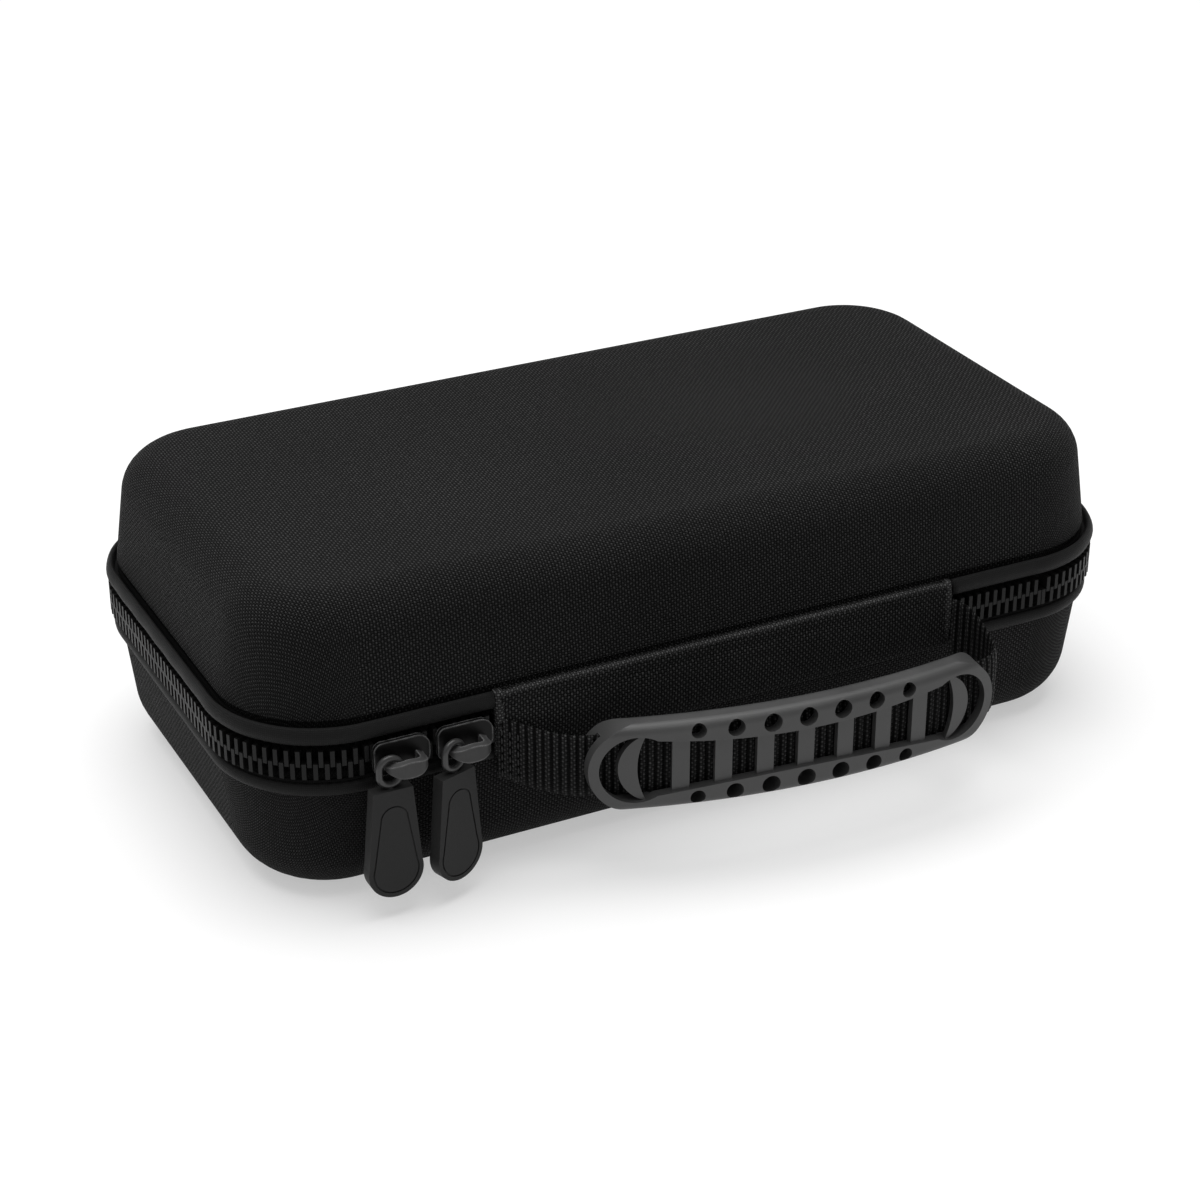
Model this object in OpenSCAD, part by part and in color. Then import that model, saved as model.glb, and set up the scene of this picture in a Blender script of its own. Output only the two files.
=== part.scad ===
// Hard-shell carrying case for a game controller: a lid and a base that close with one zip,
// joined along the front by a padded spine panel that also carries the handle.
// Units are millimetres. X runs along the front, Y to the back, Z up, and the case rests on z = 0.

/* [Case] */
// Outside length of the shell, left to right
case_length = 290; // [270:1:330]
// Outside depth of the shell, front to back
case_depth = 148; // [140:1:180]
// Full height, closed
case_height = 96; // [90:1:120]
// Radius of the four corners seen from above
corner_radius = 32; // [30:1:38]
// Thickness of the moulded wall
wall = 4; // [3:0.5:5]
// Radius of the edge round the lid's top
top_round = 13; // [10:1:15]
// Radius of the edge round the base's floor
bottom_round = 18; // [12:1:18]
// Lean of the lid's walls, degrees
lid_draft = 8; // [2:1:9]
// Lean of the base's walls, degrees
base_draft = 6.5; // [2:0.5:8]

/* [Zip band] */
// Height of the band's lower edge above the ground
band_bottom = 38; // [36:1:48]
// Height of the band between the two shells
band_height = 24; // [23:1:26]
// How far the upper piping stands out of the wall
piping_out = 3.6; // [3:0.1:4]
// How far the lower piping stands out of the wall
lower_piping_out = 2.4; // [1.5:0.1:3]
// Distance from one zip tooth to the next in its row
tooth_pitch = 3; // [2.8:0.1:4]
// Width of one zip tooth along the zip
tooth_width = 1.25; // [1:0.05:1.3]

/* [Spine and handle] */
// Length of the padded spine panel
spine_length = 153; // [140:1:160]
// Sideways place of the spine panel's middle
spine_shift = 2.5; // [0:0.5:4]
// Width of the handle's webbing
webbing_width = 20; // [16:1:20]
// Thickness of the handle's webbing
webbing_thick = 1.6; // [1.2:0.1:1.8]
// Length of the moulded grip
grip_length = 129.5; // [120:0.5:132]
// Height of the moulded grip
grip_height = 28; // [27:0.5:30]
// Thickness of the moulded grip
grip_thick = 8.5; // [8:0.5:10]
// How far the grip bows outwards at its middle
grip_bow = 9; // [7:0.5:10]

/* [Zip sliders] */
// Length of a slider along the zip
slider_length = 17; // [15:0.5:17]
// Length of a pull's rubber tab
tab_length = 35; // [28:1:35]
// Widest part of a pull's rubber tab
tab_width = 16.8; // [14:0.2:17]
// Thickness of a pull's rubber tab
tab_thick = 4; // [3:0.2:4]

/* [Inside] */
// Depth of the recesses in the foam insert
recess_depth = 30; // [20:1:32]
// Height of the mesh pocket's panel inside the lid
pocket_height = 80; // [74:1:82]

/* [Hidden] */
$fn = 64;
fit_gap = 0.3; // clearance between pieces that only meet
band_top = band_bottom + band_height;
seat_height = 6; // height of the step that the zip tapes are sewn to
seat_depth = 1.2; // how far that step lies inside the wall's outer face
tape_thick = 1;
parting = band_bottom + 11.5; // the line where the two rows of teeth meet
tooth_tall = 5;
tooth_mesh = 0.5; // how far a tooth reaches past the parting line
tooth_in = 1.9; // inner end of a tooth, inside the wall's outer face
tooth_out = 3.2; // outer end of a tooth, outside the wall's outer face
half_x = case_length / 2 - corner_radius;
half_y = case_depth / 2 - corner_radius;
front_y = -case_depth / 2;
spine_left = spine_shift - spine_length / 2;
spine_right = spine_shift + spine_length / 2;
piping_gap = 0.6; // between the spine's ends and the piping
panel_front = front_y - piping_out;

// Sweeps round the case's outline.

// Turns a frame so that +X points out of side k: right, back, left, front.
module side(k) {
    rotate([0, 0, 90 * k])
        translate([k % 2 == 0 ? half_x : half_y, k % 2 == 0 ? half_y : half_x, 0])
            children();
}

// One corner of a sweep; the profile's x is its distance from the corner's own axis.
module corner(k) {
    side(k) rotate_extrude(angle = 90) children();
}

// One whole straight side of a sweep.
module straight(k) {
    side(k) rotate([90, 0, 0])
        linear_extrude(2 * (k % 2 == 0 ? half_y : half_x)) children();
}

// A short straight run along the front, from one x to another.
module front_run(from_x, to_x) {
    translate([to_x, -half_y, 0]) rotate([0, 0, -90]) rotate([90, 0, 0])
        linear_extrude(to_x - from_x) children();
}

// A closed sweep all round.
module loop() {
    for (k = [0:3]) {
        corner(k) children();
        straight(k) children();
    }
}

// A sweep all round that leaves the spine's stretch of the front open.
module open_loop() {
    for (k = [0:3]) corner(k) children();
    for (k = [0:2]) straight(k) children();
    front_run(-half_x, spine_left - piping_gap) children();
    front_run(spine_right + piping_gap, half_x) children();
}

// Shells.

// Half a shell's outline from its rim at z = 0 to its closed side at z = tall, inset by t.
module shell_region(tall, round_r, draft, t) {
    cz = tall - round_r;
    cx = corner_radius - cz * tan(draft) - round_r / cos(draft);
    r = round_r - t;
    foot_x = corner_radius - t / cos(draft);
    polygon([[0, 0], [foot_x, 0], [cx + r * cos(draft), cz + r * sin(draft)],
             [cx, cz], [cx, cz + r], [0, cz + r]]);
    translate([cx, cz]) intersection() {
        circle(r);
        square(r + 1);
    }
}

module shell_profile(tall, round_r, draft) {
    difference() {
        shell_region(tall, round_r, draft, 0);
        translate([0, -0.01]) shell_region(tall + 0.01, round_r, draft, wall);
    }
}

// A closed shell with its rim at z = 0, and the step under the rim that the tape is sewn to.
module shell(tall, round_r, draft) {
    loop() {
        shell_profile(tall, round_r, draft);
        translate([corner_radius - wall, -seat_height]) square([wall - seat_depth, seat_height]);
    }
    translate([-half_x, -half_y, tall - wall]) cube([2 * half_x, 2 * half_y, wall]);
}

module lid_shell() color([0.16, 0.16, 0.165])
    translate([0, 0, band_top]) shell(case_height - band_top, top_round, lid_draft);

module base_shell() color([0.16, 0.16, 0.165])
    translate([0, 0, band_bottom]) mirror([0, 0, 1])
        shell(band_bottom, bottom_round, base_draft);

// Zip band.

// A half-round piping, flat against the tape, standing out of the wall by `out`.
module piping_profile(out, high) {
    r = ((high / 2) * (high / 2) + out * out) / (2 * out);
    intersection() {
        translate([corner_radius + out - r, 0]) circle(r);
        translate([corner_radius, -high / 2]) square([out + 1, high]);
    }
}

upper_piping_high = 7;
lower_piping_high = 5;
lid_piping_z = band_top - upper_piping_high / 2 - 0.3;
base_piping_z = band_bottom + lower_piping_high / 2 + 0.3;

module lid_piping() color([0.24, 0.24, 0.245])
    translate([0, 0, lid_piping_z]) open_loop() piping_profile(piping_out, upper_piping_high);

module base_piping() color([0.24, 0.24, 0.245])
    translate([0, 0, base_piping_z]) open_loop()
        piping_profile(lower_piping_out, lower_piping_high);

tape_split = 1.6; // gap between the two tapes' edges, under the teeth
lid_tape_low = parting + tape_split / 2;
base_tape_high = parting - tape_split / 2;

module lid_zip_tape() color([0.12, 0.12, 0.12]) open_loop()
    translate([corner_radius - seat_depth, lid_tape_low])
        square([tape_thick, band_top - 0.5 - lid_tape_low]);

module base_zip_tape() color([0.12, 0.12, 0.12]) open_loop()
    translate([corner_radius - seat_depth, band_bottom + 0.5])
        square([tape_thick, base_tape_high - band_bottom - 0.5]);

// One tooth, which lies on the tape's face and hooks round its edge; up is 1 for the lid's row.
module tooth(up) {
    foot = corner_radius - seat_depth + tape_thick;
    hook = tape_split / 2 + tooth_mesh;
    translate([0, tooth_width / 2, parting]) rotate([90, 0, 0]) linear_extrude(tooth_width)
        mirror([0, up > 0 ? 0 : 1]) translate([0, -tooth_mesh])
            polygon([[corner_radius - tooth_in, 0], [corner_radius + tooth_out, 0],
                     [corner_radius + tooth_out, tooth_tall], [foot, tooth_tall],
                     [foot, hook], [corner_radius - tooth_in, hook]]);
}

// A row of teeth; shift 0.25 or 0.75 of a pitch puts the two rows between each other.
module tooth_row(up, shift) {
    for (k = [0:2]) {
        b = k % 2 == 0 ? half_y : half_x;
        n = floor(2 * b / tooth_pitch);
        side(k) for (i = [0:n - 1])
            translate([0, -(i + shift) * 2 * b / n, 0]) tooth(up);
    }
    turn_r = corner_radius + 1.5;
    m = floor(turn_r * PI / 2 / tooth_pitch);
    for (k = [0:3]) side(k) for (i = [0:m - 1])
        rotate([0, 0, 90 * (1 - (i + shift) / m)]) tooth(up);
    left_run = spine_left - piping_gap + half_x;
    p = floor(left_run / tooth_pitch);
    translate([0, -half_y, 0]) for (i = [0:p - 1])
        if (!under_post(-half_x + (i + shift) * left_run / p))
            translate([-half_x + (i + shift) * left_run / p, 0, 0]) rotate([0, 0, -90]) tooth(up);
    right_run = half_x - spine_right - piping_gap;
    q = floor(right_run / tooth_pitch);
    translate([0, -half_y, 0]) for (i = [0:q - 1])
        translate([half_x - (i + 1 - shift) * right_run / q, 0, 0]) rotate([0, 0, -90]) tooth(up);
}

module lid_zip_teeth() color([0.3, 0.3, 0.3]) tooth_row(1, 0.25);

module base_zip_teeth() color([0.3, 0.3, 0.3]) tooth_row(-1, 0.75);

// The sewn binding inside the rim, which hides the raw edge of shell and tape.
binding_thick = 0.9;
binding_high = 7;

module binding_profile(edge, up) {
    inner = corner_radius - wall - binding_thick;
    translate([inner, up > 0 ? edge : edge - binding_high + binding_thick])
        square([binding_thick, binding_high - binding_thick]);
    translate([inner, up > 0 ? edge - binding_thick : edge])
        square([binding_thick + wall - seat_depth, binding_thick]);
}

module base_seam_binding() color([0.1, 0.1, 0.1])
    loop() binding_profile(band_bottom + seat_height, -1);

module lid_seam_binding() color([0.1, 0.1, 0.1])
    loop() binding_profile(band_top - seat_height, 1);

// Spine panel.

panel_back = front_y + seat_depth - fit_gap;
panel_round = 0.48 * (panel_back - panel_front);

module spine_profile() {
    depth = panel_back - panel_front;
    low = band_bottom + 0.4;
    high = band_top - 0.4;
    // x of this profile points forwards from the panel's back
    translate([0, low]) square([depth - panel_round, high - low]);
    translate([0, low + panel_round]) square([depth, high - low - 2 * panel_round]);
    for (z = [low + panel_round, high - panel_round])
        translate([depth - panel_round, z]) circle(panel_round);
}

module spine_panel() color([0.17, 0.17, 0.175])
    translate([spine_right, panel_back, 0]) rotate([0, 0, -90]) rotate([90, 0, 0])
        linear_extrude(spine_length) spine_profile();

// Inside.

floor_gap = 0.2;
insert_top = band_bottom + 3;
insert_half_x = half_x + corner_radius - wall - 0.8;
insert_half_y = half_y + corner_radius - wall - 0.8;
foot_half_x = insert_half_x - bottom_round; // the insert's narrower lower part
foot_half_y = insert_half_y - bottom_round;
insert_side = 3; // how far the insert's upper part keeps from the shell's wall
recess_side = 4; // least foam beside a recess

module rounded_block(hx, hy, r, low, high) {
    translate([0, 0, low]) linear_extrude(high - low) {
        square([2 * (hx - r), 2 * hy], center = true);
        square([2 * hx, 2 * (hy - r)], center = true);
        for (sx = [-1, 1], sy = [-1, 1]) translate([sx * (hx - r), sy * (hy - r)]) circle(r);
    }
}

// The shape that a controller lies in: a wide body with a shoulder and a grip at each end.
controller_body = [96, 74];
shoulder_r = 26;
hand_r = 23;
hand_out = 53; // from the controller's middle to the middle of a hand grip
hand_low = 26;
controller_half = hand_out + hand_r;
controller_x = -foot_half_x + recess_side + controller_half;

module controller_shape() {
    square(controller_body, center = true);
    for (s = [-1, 1]) {
        translate([s * controller_body[0] / 2, controller_body[1] / 2 - shoulder_r])
            circle(shoulder_r);
        translate([s * hand_out, -hand_low]) circle(hand_r);
        translate([s * hand_out - hand_r, -hand_low])
            square([2 * hand_r, hand_low + shoulder_r / 2]);
    }
}

// The recess beside it, for cables and cards.
rib_between = 18; // foam left between the two recesses
accessory_left = controller_x + controller_half + rib_between;
accessory_right = foot_half_x - recess_side;
accessory_round = 12;

module foam_insert() color([0.08, 0.08, 0.085])
    difference() {
        union() {
            rounded_block(insert_half_x - insert_side, insert_half_y - insert_side,
                          corner_radius - wall - insert_side - 1, bottom_round, insert_top);
            rounded_block(foot_half_x, foot_half_y, accessory_round, wall + floor_gap,
                          bottom_round + 1);
        }
        translate([controller_x, 0, insert_top - recess_depth])
            linear_extrude(recess_depth + 1) controller_shape();
        translate([(accessory_left + accessory_right) / 2, 0, 0])
            rounded_block((accessory_right - accessory_left) / 2, foot_half_y - recess_side,
                          accessory_round, insert_top - recess_depth, insert_top + 1);
    }

// The elastic strap that holds the controller down.
strap_width = 32;
strap_thick = 1.2;

module controller_strap() color([0.13, 0.13, 0.14])
    translate([controller_x - strap_width / 2, -insert_half_y + insert_side + 1.5, insert_top])
        cube([strap_width, 2 * (insert_half_y - insert_side - 1.5), strap_thick]);

// The net pocket under the lid: a panel from wall to wall, with a hem along its open edge.
net_thick = 1;
pocket_mouth = 34; // how far the pocket's open edge lies from the case's back
hem_width = 6;
hem_thick = 2.2;
pocket_inset = wall / cos(lid_draft) + (pocket_height + net_thick - band_top) * tan(lid_draft)
    + fit_gap;

module mesh_pocket() color([0.2, 0.2, 0.2])
    difference() {
        rounded_block(case_length / 2 - pocket_inset, case_depth / 2 - pocket_inset,
                      corner_radius - pocket_inset, pocket_height, pocket_height + net_thick);
        translate([-case_length / 2, case_depth / 2 - pocket_mouth, pocket_height - 1])
            cube([case_length, pocket_mouth, net_thick + 2]);
    }

module pocket_hem() color([0.1, 0.1, 0.1])
    translate([-case_length / 2 + pocket_inset, case_depth / 2 - pocket_mouth,
               pocket_height + net_thick / 2 - hem_thick / 2])
        cube([case_length - 2 * pocket_inset, hem_width, hem_thick]);

// Handle.

grip_z = band_bottom - 1.2;
grip_x = spine_shift + 9.1;
grip_y = panel_front - 21.7;
grip_turn = -5.9; // the webbing lets the grip lie a little askew
bow_r = (grip_length * grip_length / 4 + grip_bow * grip_bow) / (2 * grip_bow);
grip_half_angle = asin(grip_length / 2 / bow_r);
webbing_in = (grip_thick - webbing_thick) / 2;

// The frame of the grip: x along it, z up, its front face bowed towards -y.
module grip_frame() {
    translate([grip_x, grip_y, grip_z]) rotate([0, 0, grip_turn]) children();
}

// A ring sector about the bow's axis, from the grip's profile.
module bowed(half_angle) {
    translate([0, bow_r - grip_bow, 0]) rotate([0, 0, -90 - half_angle])
        rotate_extrude(angle = 2 * half_angle, $fn = 128) children();
}

module grip_section() {
    r = 3;
    h = grip_height;
    translate([bow_r - grip_thick, -h / 2 + r]) square([grip_thick, h - 2 * r]);
    translate([bow_r - grip_thick + r, -h / 2]) square([grip_thick - 2 * r, h]);
    for (x = [bow_r - grip_thick + r, bow_r - r], z = [-h / 2 + r, h / 2 - r])
        translate([x, z]) circle(r);
}

window_end = grip_height / 2 - 3.2;
window_mid = grip_height / 2 - 7.7;
window_far = grip_length / 2 - 3 - window_end;
waist_rise = 3.6; // how much wider the waist has grown where it meets the round ends
waist_r = (window_far * window_far + waist_rise * waist_rise) / (2 * waist_rise);

// Half the opening's height at a place along the grip.
function window_half(x) = window_mid + waist_r - sqrt(waist_r * waist_r - x * x);

// The long opening with wide ends and a narrow waist.
module window_shape() {
    difference() {
        square([2 * window_far, 2 * (window_mid + waist_rise) + 1], center = true);
        for (s = [-1, 1]) translate([0, s * (window_mid + waist_r)]) circle(waist_r, $fn = 256);
    }
    for (s = [-1, 1]) translate([s * window_far, 0]) circle(window_end);
}

hole_pitch = 11.1;
hole_mid = (grip_height / 2 + window_mid) / 2;
rib_pitch = 12.8;
rib_width = 5.2;
rib_recess = 1.2; // the ribs lie a little deeper than the frame, front and back
rib_thick = 2;

// The crescent rib next to each round end of the opening.
module crescent_shape() {
    for (s = [-1, 1]) difference() {
        translate([s * (window_far - 6.4), 0]) circle(window_end + 0.7);
        translate([s * (window_far - 24.4), 0]) circle(24);
    }
}

// The two strips, front and back of the webbing, that the ribs are made of.
module rib_section(high) {
    for (x = [bow_r - grip_thick + rib_recess, bow_r - rib_recess - rib_thick])
        translate([x, -high / 2]) square([rib_thick, high]);
}

module rib(i) {
    turn = 180 / PI / bow_r; // degrees for each millimetre along the bow
    translate([0, bow_r - grip_bow, 0])
        rotate([0, 0, -90 + (i * rib_pitch - rib_width / 2) * turn])
            rotate_extrude(angle = rib_width * turn, $fn = 128)
                rib_section(2 * window_half(i * rib_pitch) + 0.9);
}

// Stands a drawing in x and z up, and runs it front to back.
module through(from_y, to_y) {
    translate([0, to_y, 0]) rotate([90, 0, 0]) linear_extrude(to_y - from_y) children();
}

module handle_grip() color([0.33, 0.33, 0.335]) grip_frame() {
    difference() {
        intersection() {
            bowed(grip_half_angle + 2) grip_section();
            through(-grip_bow - 2, grip_thick + 2) {
                square([grip_length - grip_height, grip_height + 1], center = true);
                for (s = [-1, 1])
                    translate([s * (grip_length - grip_height) / 2, 0]) circle(grip_height / 2);
            }
        }
        // the slot that the webbing runs through
        bowed(grip_half_angle + 4)
            translate([bow_r - webbing_in - webbing_thick - fit_gap, -webbing_width / 2 - fit_gap])
                square([webbing_thick + 2 * fit_gap, webbing_width + 2 * fit_gap]);
        through(-grip_bow - 3, grip_thick + 3) window_shape();
        for (s = [-1, 1], i = [-3:3])
            translate([i * hole_pitch, 0, s * (hole_mid + 0.09 * i * i)]) rotate([90, 0, 0])
                cylinder(r = 2.9 - 0.07 * i * i, h = 2 * grip_height, center = true);
    }
    for (i = [-3:3]) rib(i);
    intersection() {
        bowed(grip_half_angle) rib_section(2 * window_end + 0.2);
        through(-grip_bow - 3, grip_thick + 3) crescent_shape();
    }
}

// The webbing's middle line seen from above: sewn on at the left, through the grip, looped
// outwards at the right and sewn on again.
seam_y = panel_front - fit_gap - webbing_thick / 2;
sewn_length = 6.5; // how much of each end lies flat on the spine
webbing_r = bow_r - grip_thick / 2;
left_lean = grip_turn - grip_half_angle; // which way the webbing runs at the grip's ends
right_lean = grip_turn + grip_half_angle;

// A point of the webbing inside the grip, at an angle from the grip's middle.
function grip_point(a) = let (x = webbing_r * sin(a), y = bow_r - grip_bow - webbing_r * cos(a))
    [grip_x + x * cos(grip_turn) - y * sin(grip_turn),
     grip_y + x * sin(grip_turn) + y * cos(grip_turn)];

// A point of a smooth curve from a to d that leaves towards b and arrives from c.
function curve(a, b, c, d, t) =
    pow(1 - t, 3) * a + 3 * pow(1 - t, 2) * t * b + 3 * (1 - t) * t * t * c + pow(t, 3) * d;

left_end = grip_point(-grip_half_angle);
right_end = grip_point(grip_half_angle);
left_seam = [spine_left + 0.5 + sewn_length, seam_y];
loop_r = (seam_y - right_end[1]) / (1 + cos(right_lean));
loop_mid = right_end + loop_r * [-sin(right_lean), cos(right_lean)];

webbing_path = concat(
    [left_seam - [sewn_length, 0]],
    [for (i = [0:7]) curve(left_seam, left_seam + [5, 0],
        left_end - 6 * [cos(left_lean), sin(left_lean)], left_end, i / 8)],
    [for (i = [-10:10]) grip_point(grip_half_angle * i / 10)],
    [for (i = [1:16]) let (a = -90 + right_lean + (180 - right_lean) * i / 16)
        loop_mid + loop_r * [cos(a), sin(a)]],
    [[loop_mid[0] - sewn_length, seam_y]]);

// The point of a path's edge beside its point i, half a thickness to the side.
function unit(v) = v / norm(v);
function beside(path, i, half) = let (
    n = len(path),
    d1 = unit(path[max(i, 1)] - path[max(i, 1) - 1]),
    d2 = unit(path[min(i, n - 2) + 1] - path[min(i, n - 2)]),
    m = unit(d1 + d2),
    reach = half / (m[0] * d1[0] + m[1] * d1[1]))
    path[i] + reach * [-m[1], m[0]];

module handle_webbing() color([0.25, 0.25, 0.25])
    translate([0, 0, grip_z - webbing_width / 2]) linear_extrude(webbing_width)
        polygon(concat(
            [for (i = [0:len(webbing_path) - 1]) beside(webbing_path, i, webbing_thick / 2)],
            [for (i = [len(webbing_path) - 1:-1:0])
                beside(webbing_path, i, -webbing_thick / 2)]));

// Zip sliders and pulls.

// Both sliders are parked beside the spine's left end, at these distances from it.
parked = [30, 10.6];
slider_x = [for (p = parked) spine_left - p];
plate_high = 10.4;
back_plate_high = 8.4; // lower, so that it runs between the two seam bindings
plate_thick = 1.5;
front_plate_y = front_y - tooth_out - 0.45 - plate_thick;
back_plate_y = front_y + tooth_in + 0.45;
post_x = -slider_length / 2 + 3.2; // the wedge between the rows, from the slider's middle
post_wide = 2.6;
post_high = tape_split - 0.5; // it runs between the tapes' edges
bridge_out = 7.2;
bridge_thick = 2.2;
bridge_high = 5;
bridge_z = parting - 1.3;
bridge_foot = 2.2; // the feet stand this far inside the plate's ends
leaf_r = 11.9; // the bridge is a leaf from the front, between two arcs

function under_post(x) = min([for (s = slider_x) abs(x - s - post_x)])
    < post_wide / 2 + tooth_width / 2 + 0.3;

module plate_shape(h) {
    l = slider_length;
    translate([-l / 2 + 2.5, -h / 2]) square([l - 6.5, h]);
    translate([-l / 2, -h / 2 + 2.5]) square([l - 3, h - 5]);
    for (s = [-1, 1]) {
        translate([-l / 2 + 2.5, s * (h / 2 - 2.5)]) circle(2.5);
        translate([l / 2 - 4, s * (h / 2 - 4)]) circle(4);
    }
    translate([l / 2 - 4, -h / 2 + 4]) square([4, h - 8]);
}

module slider_body(x) {
    translate([x, 0, parting]) {
        translate([0, front_plate_y + plate_thick, 0]) rotate([90, 0, 0])
            linear_extrude(plate_thick) plate_shape(plate_high);
        translate([0, back_plate_y + plate_thick, 0]) rotate([90, 0, 0])
            linear_extrude(plate_thick) plate_shape(back_plate_high);
        translate([post_x - post_wide / 2, front_plate_y + 0.2, -post_high / 2])
            cube([post_wide, back_plate_y - front_plate_y + 0.4, post_high]);
    }
    // the bridge that the pull's ring runs on
    translate([x, front_plate_y + 0.3, bridge_z]) intersection() {
        translate([0, 0, -bridge_high / 2 - 1]) linear_extrude(bridge_high + 2)
            intersection() {
                difference() {
                    bridge_outline(0);
                    bridge_outline(bridge_thick);
                }
                translate([-20, -20]) square([40, 20]);
            }
        translate([0, 1, 0]) rotate([90, 0, 0]) linear_extrude(bridge_out + 3)
            intersection_for(s = [-1, 1])
                translate([0, s * (leaf_r - bridge_high / 2)]) circle(leaf_r);
    }
}

// The bridge seen from above: a flat arch with round shoulders.
module bridge_outline(t) {
    half = slider_length / 2 - bridge_foot - t;
    out = bridge_out - t;
    r = 4.5 - t;
    translate([-half, -out + r]) square([2 * half, out]);
    translate([-half + r, -out]) square([2 * half - 2 * r, out + 1]);
    for (s = [-1, 1]) translate([s * (half - r), -out + r]) circle(r);
}

module slider_left() color([0.42, 0.42, 0.43]) slider_body(slider_x[0]);

module slider_right() color([0.42, 0.42, 0.43]) slider_body(slider_x[1]);

ring_wire = 1;
ring_wide = 2.25; // half the width inside the ring
ring_tall = 3.2; // half the height inside the ring
ring_y = front_plate_y - 3.1;
ring_top = bridge_z + ring_wide; // the ring turns about the bridge's foot
ring_z = ring_top - ring_tall;
ring_x = [for (s = slider_x) s - slider_length / 2 + bridge_foot + bridge_thick / 2];
tab_top = ring_z - ring_tall - 2 * ring_wire;
pull_turn = [0, 18]; // the right pull hangs a little turned
stem_r = 0.9;
stem_long = 4;
socket_gap = 0.05;

// The wire ring, round at both ends, with a short stem into the rubber.
module pull_ring(x, turn) {
    translate([x, ring_y, ring_z]) rotate([0, 0, turn]) {
        straight_half = ring_tall - ring_wide;
        for (s = [-1, 1]) {
            translate([s * (ring_wide + ring_wire), 0, -straight_half])
                cylinder(r = ring_wire, h = 2 * straight_half);
            translate([0, 0, s * straight_half]) rotate([90, 0, 0])
                rotate([0, 0, s > 0 ? 0 : 180]) rotate_extrude(angle = 180)
                    translate([ring_wide + ring_wire, 0]) circle(ring_wire);
        }
        translate([0, 0, -ring_tall - 2 * ring_wire - stem_long])
            cylinder(r = stem_r, h = stem_long + ring_wire);
    }
}

module pull_ring_left() color([0.5, 0.5, 0.51]) pull_ring(ring_x[0], pull_turn[0]);

module pull_ring_right() color([0.5, 0.5, 0.51]) pull_ring(ring_x[1], pull_turn[1]);

// The tab's drop outline, from its narrow top at z = 0 downwards, inset by t: a round end...
tab_top_half = 6;
tab_low_z = -tab_length + tab_width / 2;

module tab_disc(t) {
    translate([0, tab_low_z]) circle(tab_width / 2 - t);
}

// ...and a wedge, whose sides run down to just inside the round end.
module tab_wedge(t) {
    top = [tab_top_half - t * 0.6, -t * 2.6];
    r = tab_width / 2 - t;
    a = atan2(top[1] - tab_low_z, top[0]) - acos(r / norm([top[0], top[1] - tab_low_z]));
    side_end = [0.985 * r * cos(a), tab_low_z + 0.985 * r * sin(a)];
    polygon([[-top[0], top[1]], top, side_end, [0, tab_low_z - 2], [-side_end[0], side_end[1]]]);
}

// A slab of the outline, from y = back forwards.
module tab_slab(t, back, thick) {
    translate([0, back, 0]) rotate([90, 0, 0]) linear_extrude(thick) tab_disc(t);
    translate([0, back, 0]) rotate([90, 0, 0]) linear_extrude(thick) tab_wedge(t);
}

groove_in = 1.3;
groove_wide = 0.5;
groove_deep = 0.4;
panel_top_r = 4.3;
panel_top_z = -9.3;

// The panel inside the groove, inset by t: two round ends and the wedge between them.
module panel_slab(t, back, thick) {
    top_r = panel_top_r - t;
    low_r = tab_width / 2 - groove_in - t;
    a = asin((low_r - top_r) / (panel_top_z - tab_low_z));
    side = [for (e = [[top_r, panel_top_z], [low_r, tab_low_z]])
        [0.985 * e[0] * cos(a), e[1] + 0.985 * e[0] * sin(a)]];
    translate([0, back, 0]) rotate([90, 0, 0]) {
        linear_extrude(thick) translate([0, tab_low_z]) circle(low_r);
        linear_extrude(thick) translate([0, panel_top_z]) circle(top_r);
        linear_extrude(thick)
            polygon([side[0], side[1], [-side[1][0], side[1][1]], [-side[0][0], side[0][1]]]);
    }
}

module pull_tab(x, turn) {
    half = tab_thick / 2;
    translate([x, ring_y, tab_top]) rotate([0, 0, turn]) {
        difference() {
            union() {
                tab_slab(0, half - groove_deep, tab_thick - 2 * groove_deep);
                for (back = [half, -half + groove_deep]) difference() {
                    tab_slab(0, back, groove_deep);
                    panel_slab(0, back + 1, groove_deep + 2);
                }
            }
            // the socket of the ring's stem
            translate([0, 0, -stem_long - 2 * socket_gap])
                cylinder(r = stem_r + socket_gap, h = stem_long + 1);
        }
        // the faces inside the grooves
        for (back = [half, -half + groove_deep]) panel_slab(groove_wide, back, groove_deep);
    }
}

module pull_tab_left() color([0.28, 0.28, 0.285]) pull_tab(ring_x[0], pull_turn[0]);

module pull_tab_right() color([0.28, 0.28, 0.285]) pull_tab(ring_x[1], pull_turn[1]);

// Which node to draw.

base_shell();
base_piping();
base_zip_tape();
base_zip_teeth();
base_seam_binding();
foam_insert();
controller_strap();
spine_panel();
lid_shell();
lid_piping();
lid_zip_tape();
lid_zip_teeth();
lid_seam_binding();
mesh_pocket();
pocket_hem();
handle_webbing();
handle_grip();
slider_left();
slider_right();
pull_ring_left();
pull_ring_right();
pull_tab_left();
pull_tab_right();
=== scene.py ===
"""A hard-shell zipped carrying case for a game controller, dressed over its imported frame.

Every length is in metres. X runs along the front to the right, Y to the back and Z up.
"""

from __future__ import annotations

import logging
import math
from dataclasses import dataclass
from enum import Enum
from typing import Callable, Sequence

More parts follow.
